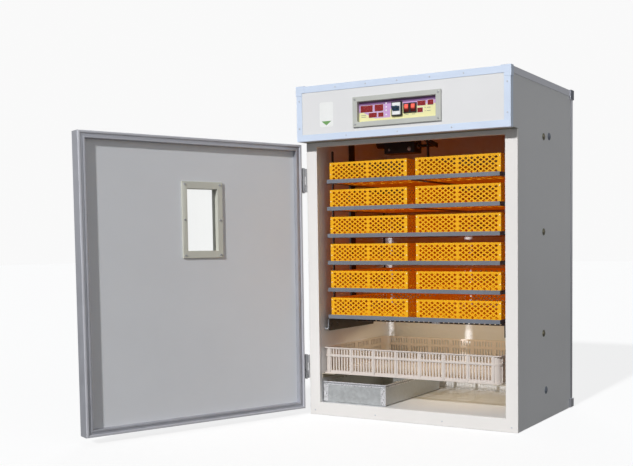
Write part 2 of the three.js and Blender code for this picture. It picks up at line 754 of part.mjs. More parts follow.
function buildDoor() {
  const leafNames = ["lower", "upper"];
  const swing = new THREE.Group();
  swing.position.set(hinge.x, hinge.y, 0);
  swing.rotation.z = -THREE.MathUtils.degToRad(door.open);
  incubator.add(swing);
  place("door_rim", doorRim(), "aluminium", swing);
  place("door_panel", doorPanel(), "doorSkin", swing);
  const sealY = [door.face + gap, door.face + rim.sealProud];
  place("door_seal", doorRing(rim.seal, sealY), "seal", swing);
  place("window_frame", windowFrame(), "cream", swing);
  place("window_glass", windowGlass(), "glass", swing);
  place("door_handle", doorHandle(), "black", swing);
  hinge.bottoms.forEach((low, i) => {
    place(`${leafNames[i]}_hinge_door_leaf`, hingeLeaf(true, low), "steel", swing);
    const fixed = place(`${leafNames[i]}_hinge_frame_leaf`, hingeLeaf(false, low), "steel");
    fixed.position.set(hinge.x, hinge.y, 0);
  });
}

buildCabinet();
buildControls();
buildRack();
buildDrive();
buildLowerGear();
buildAir();
buildDoor();

export default incubator;
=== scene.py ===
"""The looks of a cabinet egg incubator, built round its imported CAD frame.

Builders work in millimetres in the CAD frame and pieces become metres when they are made. The door's
pieces are drawn in the door's own frame: hinge axis at the origin, +X along the door, +Y inwards.
"""

import json
import math

import bpy
from mathutils import Matrix, Quaternion, Vector
from mathutils.geometry import delaunay_2d_cdt

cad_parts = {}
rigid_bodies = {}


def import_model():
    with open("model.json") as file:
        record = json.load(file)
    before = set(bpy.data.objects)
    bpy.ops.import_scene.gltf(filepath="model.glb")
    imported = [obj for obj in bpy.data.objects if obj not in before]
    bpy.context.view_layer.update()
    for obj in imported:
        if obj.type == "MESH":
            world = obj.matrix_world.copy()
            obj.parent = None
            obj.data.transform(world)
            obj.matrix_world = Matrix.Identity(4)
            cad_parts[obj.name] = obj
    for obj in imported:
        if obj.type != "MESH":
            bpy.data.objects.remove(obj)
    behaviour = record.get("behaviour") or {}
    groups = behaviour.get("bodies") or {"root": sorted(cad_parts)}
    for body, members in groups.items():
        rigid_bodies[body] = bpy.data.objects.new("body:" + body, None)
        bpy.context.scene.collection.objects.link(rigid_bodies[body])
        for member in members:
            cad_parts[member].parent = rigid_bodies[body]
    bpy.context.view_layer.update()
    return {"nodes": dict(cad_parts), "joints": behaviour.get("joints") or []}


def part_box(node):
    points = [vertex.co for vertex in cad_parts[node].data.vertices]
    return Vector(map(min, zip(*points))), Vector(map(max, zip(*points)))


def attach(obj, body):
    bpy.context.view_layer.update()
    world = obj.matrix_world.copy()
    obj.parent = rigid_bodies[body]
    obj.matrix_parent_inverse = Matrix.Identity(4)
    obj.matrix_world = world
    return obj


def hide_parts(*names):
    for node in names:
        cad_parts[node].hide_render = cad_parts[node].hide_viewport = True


MM = 0.001

for leftover in list(bpy.data.objects):
    bpy.data.objects.remove(leftover)
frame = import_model()
nodes = frame["nodes"]
scene = bpy.context.scene

# ---- camera

CAMERA_AT = (1.7258, -3.5483, 0.7109)
CAMERA_TURN = 28.887  # degrees from +Y towards -X
CAMERA_DIP = 3.453
CAMERA_ROLL = -0.568
CAMERA_LENS = 52.95
CAMERA_SHIFT = (-0.1234, 0.1057)


def make_camera():
    data = bpy.data.cameras.new("camera")
    data.lens = CAMERA_LENS
    data.sensor_width = 36
    data.shift_x, data.shift_y = CAMERA_SHIFT
    camera = bpy.data.objects.new("camera", data)
    scene.collection.objects.link(camera)
    turn, dip = math.radians(CAMERA_TURN), math.radians(CAMERA_DIP)
    ahead = Vector((-math.sin(turn), math.cos(turn), -math.tan(dip)))
    roll = Quaternion((0, 0, 1), math.radians(CAMERA_ROLL))
    camera.rotation_mode = "QUATERNION"
    camera.rotation_quaternion = ahead.to_track_quat("-Z", "Y") @ roll
    camera.location = CAMERA_AT
    scene.camera = camera


make_camera()

# ---- shapes


def turned(loop, ahead):
    """A closed loop of points, run anticlockwise if ahead and clockwise if not."""
    area = sum(a[0] * b[1] - b[0] * a[1] for a, b in zip(loop, loop[1:] + loop[:1]))
    return loop if (area > 0) == ahead else loop[::-1]


def filled(outline, holes):
    """Triangles that fill an outline and leave its holes open."""
    flat, walls = [], []
    for loop in [turned(outline, True), *[turned(hole, False) for hole in holes]]:
        start, count = len(flat), len(loop)
        flat += [Vector(p) for p in loop]
        walls += [(start + i, start + (i + 1) % count) for i in range(count)]
    found, _, triangles, origins = delaunay_2d_cdt(flat, walls, [], 0, 1e-5, True)[:4]
    new = {old: i for i, olds in enumerate(origins) for old in olds}
    walls = [(new[a], new[b]) for a, b in walls]
    owner = {(t[i], t[(i + 1) % 3]): n for n, t in enumerate(triangles) for i in range(3)}
    shut = {edge for a, b in walls for edge in ((a, b), (b, a))}
    waiting = [owner[(b, a)] for a, b in walls if (b, a) in owner]
    gone = set()
    while waiting:
        n = waiting.pop()
        if n in gone:
            continue
        gone.add(n)
        t = triangles[n]
        sides = [(t[i], t[(i + 1) % 3]) for i in range(3)]
        waiting += [owner[(b, a)] for a, b in sides if (a, b) not in shut and (b, a) in owner]
    return found, [t for n, t in enumerate(triangles) if n not in gone]


class Shape:
    """Points in millimetres and faces, grown into one mesh. Faces take the paint set when they're added."""

    def __init__(self):
        self.points = []
        self.faces = []
        self.paints = []
        self.paint = 0

    def add(self, points, faces, move=None):
        first = len(self.points)
        flip = move is not None and move.determinant() < 0
        if move is not None:
            points = [move @ Vector(p) for p in points]
        self.points.extend(tuple(p) for p in points)
        for face in faces:
            face = [first + i for i in face]
            self.faces.append(face[::-1] if flip else face)
            self.paints.append(self.paint)
        return self

    def box(self, corner, opposite, move=None):
        limits = [sorted(pair) for pair in zip(corner, opposite)]
        points = [(x, y, z) for x in limits[0] for y in limits[1] for z in limits[2]]
        faces = [(0, 1, 3, 2), (4, 6, 7, 5), (0, 4, 5, 1), (2, 3, 7, 6), (0, 2, 6, 4), (1, 5, 7, 3)]
        return self.add(points, faces, move)

    def skin(self, points, sides, move=None):
        """Rings of points joined one to the next and shut at both ends."""
        last = len(points) - sides
        faces = [tuple(reversed(range(sides))), tuple(range(last, last + sides))]
        for ring in range(0, last, sides):
            for s in range(sides):
                a, b = ring + s, ring + (s + 1) % sides
                faces.append((a, b, b + sides, a + sides))
        return self.add(points, faces, move)

    def lathe(self, profile, sides, move=None):
        """A turned solid about Z from (radius, height) pairs, bottom first."""
        points = [(*p, z) for radius, z in profile for p in circle(0, 0, radius, sides)]
        return self.skin(points, sides, move)

    def plate(self, outline, holes, low, high, move=None):
        """A flat outline with holes, from one height to another."""
        found, triangles = filled(outline, holes)
        n = len(found)
        points = [(p.x, p.y, z) for z in (low, high) for p in found]
        faces = [tuple(reversed(t)) for t in triangles]
        faces += [tuple(i + n for i in t) for t in triangles]
        sides = {(t[i], t[(i + 1) % 3]) for t in triangles for i in range(3)}
        faces += [(a, b, b + n, a + n) for a, b in sorted(sides) if (b, a) not in sides]
        return self.add(points, faces, move)

    def ring(self, low, high, profile, move=None):
        """A closed (inset, depth) profile run round a rectangle, mitred at its corners."""
        points = []
        for inset, depth in profile:
            x0, y0, x1, y1 = low[0] + inset, low[1] + inset, high[0] - inset, high[1] - inset
            points += [(x0, y0, depth), (x1, y0, depth), (x1, y1, depth), (x0, y1, depth)]
        faces = []
        for i in range(len(profile)):
            j = (i + 1) % len(profile)
            for s in range(4):
                t = (s + 1) % 4
                faces.append((4 * i + s, 4 * i + t, 4 * j + t, 4 * j + s))
        return self.add(points, faces, move)

    def pipe(self, path, radius, sides):
        """A round bar along a path of points."""
        path = [Vector(p) for p in path]
        points, side = [], None
        for i, p in enumerate(path):
            ahead = (path[min(i + 1, len(path) - 1)] - path[max(i - 1, 0)]).normalized()
            if side is None:
                side = ahead.orthogonal().normalized()
            side = (side - ahead * side.dot(ahead)).normalized()
            up = ahead.cross(side)
            points += [p + side * u + up * v for u, v in circle(0, 0, radius, sides)]
        return self.skin(points, sides)


def facing_out(across, out):
    """A turn that stands a plate up: its X goes across, its Y up and its Z out."""
    return Matrix((across, (0, 0, 1), out)).transposed().to_4x4()


FRONT = facing_out((1, 0, 0), (0, -1, 0))
BACK = facing_out((-1, 0, 0), (0, 1, 0))
RIGHT = facing_out((0, 1, 0), (1, 0, 0))
LEFT = facing_out((0, -1, 0), (-1, 0, 0))
UP = Matrix.Identity(4)
SIDES = ((-1, LEFT), (1, RIGHT))


def at(x, y, z, facing=UP):
    """A move from a plate's own axes to a point, facing one way."""
    return Matrix.Translation((x, y, z)) @ facing


def span(node):
    """A node's lowest and highest corner in millimetres."""
    low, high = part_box(node)
    return Vector(low) / MM, Vector(high) / MM


def joint(name):
    return next(j for j in frame["joints"] if j["name"] == name)


def axis_of(name):
    """A point on a joint's axis in millimetres."""
    return [c / MM for c in joint(name)["pos_m"]]


def rectangle(x0, y0, x1, y1):
    return [(x0, y0), (x1, y0), (x1, y1), (x0, y1)]


def arc(x, y, radius, start, sweep, steps):
    """Points along an arc; its start and sweep are in degrees."""
    turns = [math.radians(start + sweep * step / steps) for step in range(steps + 1)]
    return [(x + radius * math.cos(a), y + radius * math.sin(a)) for a in turns]


def corners(x0, y0, x1, y1, radius):
    """The centre of each round corner of a rectangle, and where its arc starts in degrees."""
    left, right, low, high = x0 + radius, x1 - radius, y0 + radius, y1 - radius
    return [(right, high, 0), (left, high, 90), (left, low, 180), (right, low, 270)]


def rounded(x0, y0, x1, y1, radius, steps=4):
    """A rectangle with round corners, each in so many steps."""
    turns = corners(x0, y0, x1, y1, radius)
    return [p for x, y, start in turns for p in arc(x, y, radius, start, 90, steps)]


def circle(x, y, radius, sides=16):
    return arc(x, y, radius, 0, 360, sides)[:-1]


def soften(thing, width, weld=False):
    """Rounds the edges of a piece; a CAD node's split corners are welded first."""
    if weld:
        thing.modifiers.new("weld", "WELD").merge_threshold = 1e-5
    edge = thing.modifiers.new("edges", "BEVEL")
    edge.width = width * MM
    edge.segments = 2
    edge.limit_method = "ANGLE"
    edge.angle_limit = math.radians(40)
    edge.harden_normals = True


def mesh_of(name, shape, look_names):
    mesh = bpy.data.meshes.new(name)
    mesh.from_pydata([[c * MM for c in p] for p in shape.points], [], shape.faces)
    mesh.shade_smooth()
    mesh.set_sharp_from_angle(angle=math.radians(30))
    for look in look_names:
        mesh.materials.append(looks[look])
    mesh.polygons.foreach_set("material_index", shape.paints)
    return mesh


# The slot name for each look, unless a piece names its own; piece() looks it up but doesn't store it.
SLOTS = {
    "zinc": "zinc_steel",
    "pale_screw": "zinc_steel",
    "brass": "brass",
    "steel_dark": "dark_steel",
    "level": "grey_paint",
    "rim": "aluminium_trim",
    "galvanised": "galvanised",
    "black": "black_plastic",
    "label": "white_plastic",
    "display": "red_plastic",
    "surround": "cream_plastic",
    "tray": "tray_plastic",
    "basket": "basket_plastic",
    "seal": "seal_rubber",
}


def piece(name, shape, look, body="cabinet", slot=None, place=None, edge=0.0, replaces=()):
    """One visible piece that rides on a CAD body. A mesh that's already made may stand for the shape."""
    look_names = look if isinstance(look, list) else [look]
    mesh = shape if isinstance(shape, bpy.types.Mesh) else mesh_of(name, shape, look_names)
    made = bpy.data.objects.new(name, mesh)
    scene.collection.objects.link(made)
    place = door_place if body == "door" else place
    if place is not None:
        made.matrix_world = place
    if edge:
        soften(made, edge)
    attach(made, body)
    slot = slot or SLOTS.get(look_names[0])
    if replaces:
        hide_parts(*replaces)


def dress(look, edge, *names):
    """Gives CAD nodes their finish, with softened edges."""
    for name in names:
        holder = nodes[name].material_slots[0]
        holder.link = "OBJECT"
        holder.material = looks[look]
        if edge:
            soften(nodes[name], edge, weld=True)


# ---- materials


def rgb(colour, share=1.0):
    """A display colour, 0 to 255, as a linear shader colour, made darker or lighter by a share."""
    channels = [c / 255 for c in colour]
    linear = [c / 12.92 if c <= 0.04045 else ((c + 0.055) / 1.055) ** 2.4 for c in channels]
    return (*[min(c * share, 1.0) for c in linear], 1.0)


def node(tree, kind, inputs=None, **settings):
    """A shader node; an input given as a socket is linked, and any other is set."""
    made = tree.nodes.new("ShaderNode" + kind)
    for key, value in settings.items():
        setattr(made, key, value)
    for key, value in (inputs or {}).items():
        if isinstance(value, bpy.types.NodeSocket):
            tree.links.new(value, made.inputs[key])
        else:
            made.inputs[key].default_value = value
    return made


def maths(tree, operation, *values):
    return node(tree, "Math", dict(enumerate(values)), operation=operation).outputs["Value"]


def blend(tree, share, low, high):
    """A colour between two others."""
    return node(tree, "MixRGB", {"Fac": share, "Color1": low, "Color2": high}).outputs["Color"]


def mixed(tree, share, first, second):
    """A shader between two others."""
    return node(tree, "MixShader", {0: share, 1: first, 2: second}).outputs["Shader"]


def blank_material(name):
    made = bpy.data.materials.new(name)
    made.use_nodes = True
    return made, made.node_tree


def cover(tree, shader):
    """Makes a shader the material's surface."""
    tree.links.new(shader, tree.nodes["Material Output"].inputs["Surface"])


def ranged(tree, value, low, high, to_low, to_high):
    limits = {"From Min": low, "From Max": high, "To Min": to_low, "To Max": to_high}
    return node(tree, "MapRange", {"Value": value, **limits}).outputs["Result"]


def edge_mask(tree, radius):
    """Bright within a radius of the edges, by how far a rounded normal leans from the true one."""
    soft = node(tree, "Bevel", {"Radius": radius * MM}, samples=4).outputs["Normal"]
    true = node(tree, "NewGeometry").outputs["Normal"]
    lean = node(tree, "VectorMath", {0: soft, 1: true}, operation="DOT_PRODUCT")
    return ranged(tree, lean.outputs["Value"], 0.98, 0.80, 0.0, 1.0)


def material(name, colour, rough, metal=0.0, **detail):
    """A finish whose colour and roughness drift in patches, with fine relief.

    detail: tint (share that the colour drifts by), patch (mm across), spread (roughness drift), grain
    (relief strength), grain_size (mm), stretch (scale along X, Y, Z), through (translucent share), wear
    (colour that shows along edges), cells (mm across crystal cells), coat, glow (colour, strength of a
    painted glow, an emission on a part that is no lamp).
    """
    made, tree = blank_material(name)
    shader = tree.nodes["Principled BSDF"]
    shader.inputs["Metallic"].default_value = metal
    shader.inputs["Coat Weight"].default_value = detail.get("coat", 0.0)
    where = node(tree, "TexCoord").outputs["Object"]
    scale = {"Vector": where, "Scale": detail.get("stretch", (1, 1, 1))}
    lie = node(tree, "Mapping", scale).outputs["Vector"]
    patch = detail.get("patch", 120) * MM
    cloud = {"Vector": lie, "Scale": 1 / patch, "Detail": 7, "Roughness": 0.62}
    drift = node(tree, "TexNoise", cloud).outputs["Fac"]
    if "cells" in detail:
        cell = {"Vector": lie, "Scale": 1 / (detail["cells"] * MM)}
        facet = node(tree, "TexVoronoi", cell).outputs["Color"]
        tone = node(tree, "SeparateColor", {"Color": facet}).outputs["Red"]
        drift = maths(tree, "MULTIPLY", maths(tree, "ADD", drift, tone), 0.5)
    share = ranged(tree, drift, 0.3, 0.7, 0.0, 1.0)
    tint = detail.get("tint", 0.06)
    shown = blend(tree, share, rgb(colour, 1 - tint), rgb(colour, 1 + tint))
    spread = detail.get("spread", 0.06)
    dull = ranged(tree, drift, 0.3, 0.7, max(rough - spread, 0.02), min(rough + spread, 1.0))
    if "wear" in detail:
        mask = edge_mask(tree, 1.2)
        specks = node(tree, "TexNoise", {"Vector": lie, "Scale": 160, "Detail": 4})
        worn = ranged(tree, specks.outputs["Fac"], 0.45, 0.62, 0.0, 1.0)
        shown = blend(tree, maths(tree, "MULTIPLY", mask, worn), shown, rgb(detail["wear"]))
    tree.links.new(shown, shader.inputs["Base Color"])
    tree.links.new(dull, shader.inputs["Roughness"])
    if detail.get("grain"):
        fine = {"Vector": lie, "Scale": 1 / (detail.get("grain_size", 1.2) * MM), "Detail": 3}
        height = node(tree, "TexNoise", fine).outputs["Fac"]
        relief = {"Height": height, "Strength": detail["grain"], "Distance": 0.0004}
        tree.links.new(node(tree, "Bump", relief).outputs["Normal"], shader.inputs["Normal"])
    # A painted glow: the surface emits light of its own though the part is no lamp.
    if "glow" in detail:
        light, strength = detail["glow"]
        shader.inputs["Emission Color"].default_value = rgb(light)
        shader.inputs["Emission Strength"].default_value = strength
    if "through" in detail:
        passed = node(tree, "BsdfTranslucent", {"Color": shown}).outputs["BSDF"]
        cover(tree, mixed(tree, detail["through"], shader.outputs["BSDF"], passed))
    return made


def pane_material(name, colour, clear):
    """Thin glass: mostly clear, with a gloss that grows at grazing angles."""
    made, tree = blank_material(name)
    tree.nodes.remove(tree.nodes["Principled BSDF"])
    through = node(tree, "BsdfTransparent", {"Color": colour}).outputs["BSDF"]
    gloss = node(tree, "BsdfPrincipled", {"Roughness": 0.04, "Base Color": colour}).outputs["BSDF"]
    rim = node(tree, "Fresnel", {"IOR": 1.3}).outputs["Fac"]
    share = ranged(tree, rim, 0.0, 1.0, 1 - clear, 1.0)
    cover(tree, mixed(tree, share, through, gloss))
    return made


def rocker_material(name, dark, lit):
    """A translucent switch cap with a lamp behind its upper half."""
    made, tree = blank_material(name)
    shader = tree.nodes["Principled BSDF"]
    shader.inputs["Roughness"].default_value = 0.22
    where = node(tree, "TexCoord").outputs["Generated"]
    parts = node(tree, "SeparateXYZ", {"Vector": where}).outputs
    rise = ranged(tree, parts["Z"], 0.3, 0.62, 0.0, 1.0)
    away = maths(tree, "ABSOLUTE", maths(tree, "SUBTRACT", parts["X"], 0.5))
    middle = ranged(tree, away, 0.46, 0.26, 0.0, 1.0)
    shown = blend(tree, maths(tree, "MULTIPLY", rise, middle), rgb(dark), rgb(lit))
    tree.links.new(shown, shader.inputs["Base Color"])
    tree.links.new(shown, shader.inputs["Emission Color"])
    shader.inputs["Emission Strength"].default_value = 0.35
    return made


BARE_STEEL = (150, 150, 152)

looks = {
    "panel": material("white_skin", (229, 229, 230), 0.42, grain=0.12, tint=0.02, patch=400),
    "frame": material("white_frame", (236, 233, 230), 0.4, grain=0.1, tint=0.02, patch=300),
    # The basket ledge is dulled to a beige that stands in for the warm shade low in the cabinet: painted
    # shade.
    "ledge": material("ledge_painted_shade", (196, 186, 168), 0.5, grain=0.1, tint=0.03, patch=200),
    # The header's underside is given a dark olive grey that stands in for the shade under the overhang:
    # painted shade.
    "soffit": material("soffit_painted_shade", (141, 139, 128), 0.5, grain=0.12),
    "film": material("film_blue", (214, 227, 247), 0.34, 0.08, grain=0.3, grain_size=9, tint=0.02),
    "trim": material("trim_alloy", (186, 188, 196), 0.34, 0.85, stretch=(1, 1, 0.05), patch=14),
    "cap": material("cap_grey", (104, 110, 122), 0.5, grain=0.2),
    "rim": material("rim_alloy", (180, 182, 190), 0.38, 0.5, tint=0.05, patch=60),
    "seal": material("seal_lilac", (196, 197, 204), 0.6, tint=0.05, grain=0.25, grain_size=2),
    "door": material("door_white", (221, 223, 227), 0.5, grain=0.12, tint=0.02, patch=350),
    "surround": material("surround_cream", (205, 205, 194), 0.5, tint=0.04, grain=0.3),
    "glass": pane_material("pane_clear", (0.99, 0.995, 0.99, 1), 0.98),
    "bezel": material("bezel_grey", (190, 192, 186), 0.5, tint=0.04, grain=0.3),
    "black": material("black_plastic", (26, 26, 28), 0.45, grain=0.35, tint=0.2, patch=40),
    "steel_dark": material("black_paint", (44, 42, 42), 0.45, grain=0.25, wear=BARE_STEEL),
    "level": material("level_paint", (119, 124, 134), 0.42, 0.2, grain=0.2, wear=BARE_STEEL),
    "zinc": material("zinc_bright", (188, 190, 194), 0.3, 0.9, tint=0.1, patch=20),
    "brass": material("brass_olive", (112, 108, 90), 0.45, 0.5, tint=0.12, patch=15),
    "galvanised": material("galvanised", (190, 193, 194), 0.4, 0.45, cells=9, tint=0.045, spread=0.08),
    # Two copies of the galvanised finish for the pan: a lighter one, a painted highlight on the rolled hem,
    # crease, corner tabs and rivets, and a darker one, painted shade in the groove between hem and crease.
    "tin": material("bright_tin_painted_highlight", (214, 214, 217), 0.34, 0.35, cells=5, tint=0.1, spread=0.1),
    "tin_painted_shade": material("tin_painted_shade", (148, 150, 154), 0.5, 0.3, tint=0.1, patch=20),
    # The trays get a faint orange painted glow, an emission that stands in for sunlight passing through and
    # bouncing in the orange plastic; they are no lamp.
    "tray": material("tray_orange", (255, 200, 24), 0.36, through=0.28, tint=0.04, grain=0.15,
                     glow=((255, 150, 10), 0.06)),
    # The tray's snap studs are real bumps; their pale colour is a painted highlight that stands in for
    # glints of light on them.
    "pin": material("pin_painted_highlight", (250, 226, 170), 0.25, tint=0.03),
    "basket": material("basket_pink", (236, 227, 220), 0.36, through=0.24, tint=0.03, grain=0.12),
    "float": material("float_white", (214, 208, 196), 0.35, tint=0.04, patch=20),
    "breaker": material("breaker_white", (238, 240, 240), 0.35, tint=0.02, patch=15),
    "lever": material("lever_blue", (30, 66, 96), 0.35, tint=0.1, patch=10),
    "rocker": rocker_material("rocker_red", (74, 14, 12), (255, 104, 88)),
    "display": material("display_red", (140, 20, 26), 0.25, tint=0.18, patch=6, coat=0.4),
    "purple": material("print_purple", (138, 96, 150), 0.4, tint=0.05, patch=30),
    "lilac": material("print_lilac", (208, 166, 218), 0.4, tint=0.03, patch=30),
    "yellow": material("print_yellow", (240, 236, 178), 0.4, tint=0.02, patch=30),
    "label": material("label_white", (240, 241, 240), 0.4, tint=0.02, patch=30),
    "pale_screw": material("screw_pale", (208, 212, 220), 0.4, 0.5, tint=0.06, patch=20),
    "green": material("label_green", (112, 160, 92), 0.45, tint=0.08, patch=12),
    "ink": material("print_grey", (120, 124, 128), 0.5, tint=0.05, patch=12),
}

# ---- hardware


def cross_head(shape, move, radius, height):
    """A pan-head screw with a cross recess, its foot on the plane that move gives."""
    crown = 0.55 * height
    shape.lathe([(radius, 0), (radius, 0.35 * height), (radius * 0.9, crown)], 18, move)
    arm, half = radius * 0.58, radius * 0.14
    cross = [(half, half), (half, arm), (-half, arm), (-half, half), (-arm, half), (-arm, -half)]
    cross += [(-half, -half), (-half, -arm), (half, -arm), (half, -half), (arm, -half), (arm, half)]
    shape.plate(circle(0, 0, radius * 0.9, 18), [cross], crown, height, move)


def screws(name, places, radius, look, body="cabinet"):
    """One piece that holds all the screws of a set; places are moves to their feet."""
    shape = Shape()
    for move in places:
        cross_head(shape, move, radius, radius * 0.7)
    piece(name, shape, look, body, edge=radius * 0.06)


def bolt_cap(shape, move, radius, height):
    """A low domed bolt head on a washer."""
    shape.lathe([(radius, 0), (radius, 0.25 * height), (radius * 0.97, 0.3 * height)], 28, move)
    dome = [(radius * 0.72, 0.3 * height), (radius * 0.7, 0.7 * height), (radius * 0.5, 0.92 * height)]
    shape.lathe([*dome, (radius * 0.2, height)], 28, move)


# ---- cabinet


def build_cabinet():
    dress("panel", 1.0, "base_panel", "rear_panel", "roof_panel", "header_panel")
    dress("panel", 1.0, "side_panel_left", "side_panel_right")
    dress("frame", 2.0, "front_frame")
    # The ledge's beige is painted shade.
    dress("ledge", 0.8, "basket_ledge")
    # The underside's dark colour is painted shade.
    dress("soffit", 0.4, "header_soffit")
    dress("film", 0.5, "header_trim")
    dress("trim", 0.4, "edge_trim")
    build_corner_caps()
    build_trim_screws()
    build_side_fittings()


def build_corner_caps():
    """Moulded covers over the trim's rear top corners."""
    high = span("edge_trim")[1]
    y, top = high.y, high.z
    leg, skin, lap = 38, 0.9, 0.1
    caps = Shape()
    for sign, _ in SIDES:
        x = sign * span("header_trim")[1].x
        out, inner = x + skin * sign, x - leg * sign
        caps.box((out, y - leg, top), (inner, y + skin, top + skin))
        caps.box((out, y - leg, top - leg), (x, y, top + skin - lap))
        caps.box((out, y, top - leg), (inner, y + skin - lap, top + skin - lap))
    piece("corner_caps", caps, "cap", edge=0.3)


def build_trim_screws():
    low, high = span("header_trim")
    inset, edge_x, trim_top = 13, 452, high.z - 2.5
    spots = [(x, trim_top - inset) for x in (-280, -140, 0, 140, 280)]
    spots += [(x, low.z + inset) for x in (-230, 0, 230)]
    spots += [(x, z) for x in (-edge_x, edge_x) for z in (1180, 1290)]
    screws("header_trim_screws", [at(x, low.y + 1, z, FRONT) for x, z in spots], 3.0, "pale_screw")
    side_x = span("side_panel_right")[1].x + 1.5
    back_y = span("edge_trim")[1].y - 5
    rows = [160 + 190 * i for i in range(6)]
    along = [-300 + 120 * i for i in range(5)]
    rivets = [at(sign * side_x, 307, z, facing) for sign, facing in SIDES for z in rows]
    rivets += [at(sign * edge_x, back_y, z, BACK) for sign, _ in SIDES for z in rows]
    rivets += [at(sign * edge_x, y, trim_top) for sign, _ in SIDES for y in along]
    shape = Shape()
    for move in rivets:
        shape.lathe([(3.4, 0), (3.0, 0.9), (1.6, 1.5)], 16, move)
    piece("trim_rivets", shape, "zinc")


def build_side_fittings():
    """The rack's through bolts and two capped ports on each side panel."""
    side_x, radius = span("side_panel_right")[1].x, 15
    bolts, ports = Shape(), Shape()
    for sign, facing in SIDES:
        for z in (1124, 752, 350):
            bolt_cap(bolts, at(sign * side_x, pivot_y, z, facing), 14, 5)
        for y, z in ((25, 1131), (-11, 119)):
            move = at(sign * side_x, y, z, facing)
            ports.lathe([(radius, 0), (radius, 1.2), (radius - 2, 2.4)], 32, move)
            ports.lathe([(radius * 0.62, 2.4), (radius * 0.6, 4), (radius * 0.45, 4.6)], 32, move)
    piece("side_bolts", bolts, "brass", edge=0.3)
    piece("side_ports", ports, "cap", edge=0.3)
    face = span("front_frame")[0].y
    heads = [at(x, face, 19, FRONT) for x in (-440, -150, 150, 440)]
    screws("frame_screws", heads, 2.8, "pale_screw")


# ---- controls


def build_controls():
    dress("bezel", 2.2, "control_bezel")
    dress("yellow", 0.0, "control_faceplate")
    dress("black", 1.0, "controller_box")
    dress("breaker", 0.8, "breaker_body")
    dress("lever", 0.7, "breaker_toggle")
    dress("rocker", 0.6, "power_rocker", "lamp_rocker")
    low, high = span("control_bezel")
    xs, zs = (low.x + 11, high.x - 11), (low.z + 11, high.z - 11)
    screws("bezel_screws", [at(x, low.y, z, FRONT) for x in xs for z in zs], 3.4, "zinc")
    build_print()
    build_switch_frames()
    build_label()


def front_of(name):
    """A move onto the plane of a node's front."""
    return at(0, span(name)[0].y, 0, FRONT)


def printed(name, outlines, look, lift):
    """Flat printed areas on the faceplate, each a film of ink a fraction of a millimetre thick."""
    shape = Shape()
    for outline in outlines:
        shape.plate(outline, [], lift - 0.1, lift, front_of("control_faceplate"))
    piece(name, shape, look, slot="faceplate_print")


# Short plain dashes where a panel has its captions: x, z, width.
MARKS = [(30, 1203, 14), (58, 1203, 14), (113, 1223, 4), (113, 1211, 4), (122, 1223, 16), (122, 1211, 16)]
MARKS += [(-166, 1213, 22), (-166, 1206, 22), (-126, 1262, 60), (34, 1262, 70)]


def build_print():
    """Coloured areas, displays, indicator lamps and dashes on the faceplate."""
    low, high = span("control_faceplate")
    left, right, top, band = low.x + 3, high.x - 3, high.z - 3, high.z - 17
    lilac = [(left, band), (left, 1224), (-156, 1224), (-106, 1199), (-36, 1199), (-36, 1229)]
    lilac += [(-28, 1229), (-28, band)]
    printed("print_lilac_left", [lilac], "lilac", 0.2)
    printed("print_lilac_right", [rectangle(19, 1238, right, band)], "lilac", 0.2)
    printed("print_band", [rectangle(left, band, right, top)], "purple", 0.25)
    windows = [(-169, 1225, -114, 1251), (-105, 1226, -67, 1251), (-132, 1203, -96, 1221)]
    windows += [(-89, 1203, -66, 1220), (82, 1233, 117, 1251), (126, 1233, 150, 1252)]
    windows += [(82, 1208, 105, 1225)]
    frames = [rectangle(a - 1, b - 1, c + 1, d + 1) for a, b, c, d in windows]
    printed("display_frames", frames, "label", 0.35)
    face, lenses, lamps = front_of("control_faceplate"), Shape(), Shape()
    for a, b, c, d in windows:
        lenses.box((a, b, 0.3), (c, d, 1.6), face)
    piece("display_lenses", lenses, "display", edge=0.4)
    for z in (1253, 1239, 1226, 1210):
        lamps.lathe([(3.6, 0), (3.3, 0.8), (1.5, 1.5)], 16, face @ at(-54, z, 0))
    piece("indicator_lamps", lamps, "label")
    marks = [rectangle(x, z, x + w, z + 1.6) for x, z, w in MARKS]
    printed("print_marks", marks, "ink", 0.35)


def build_switch_frames():
    """Dark frames round the breaker and the two rockers."""
    face = front_of("control_faceplate")
    low, high = span("breaker_body")
    around = [(-4.5, 0), (-4.5, 8), (-3.5, 9.6), (-0.4, 9.6), (-0.4, 0)]
    shape = Shape().ring((low.x, low.z), (high.x, high.z), around, face)
    piece("breaker_frame", shape, "black", edge=0.4)
    edge = [(-3.6, 0), (-3.6, 4), (-2.6, 5.4), (-0.4, 5.4), (-0.4, 0)]
    bezels, half = Shape(), 15
    for name in ("power_rocker", "lamp_rocker"):
        left, right = span(name)
        middle = axis_of(f"{name}_tilt")[2]
        bezels.ring((left.x, middle - half), (right.x, middle + half), edge, face)
    piece("rocker_frames", bezels, "black", edge=0.3)
    tabs = Shape()
    for z0, z1 in ((high.z - 7, high.z - 2), (low.z + 2, low.z + 7)):
        tabs.box((low.x + 5, low.y - 0.15, z0), (high.x - 5, low.y, z1))
    piece("breaker_tabs", tabs, "label")


def build_label():
    """A blank rounded sticker with one plain triangle of colour."""
    face = front_of("header_panel")
    sheet = Shape().plate(rounded(-355, 1180, -291, 1278, 8), [], 0.0, 0.25, face)
    piece("header_label", sheet, "label")
    mark = Shape().plate([(-346, 1203), (-323, 1186), (-300, 1203)], [], 0.25, 0.4, face)
    piece("label_mark", mark, "green")


# ---- trays

TRAY_WALL = 2.4
LATTICE_TOP = 12.7
LATTICE_STEP = 8.67
LATTICE_ROWS = 7
HOLE = (7.9, 6.0)  # half a diamond's width and height
CELL = 44  # wanted size of an egg's cell


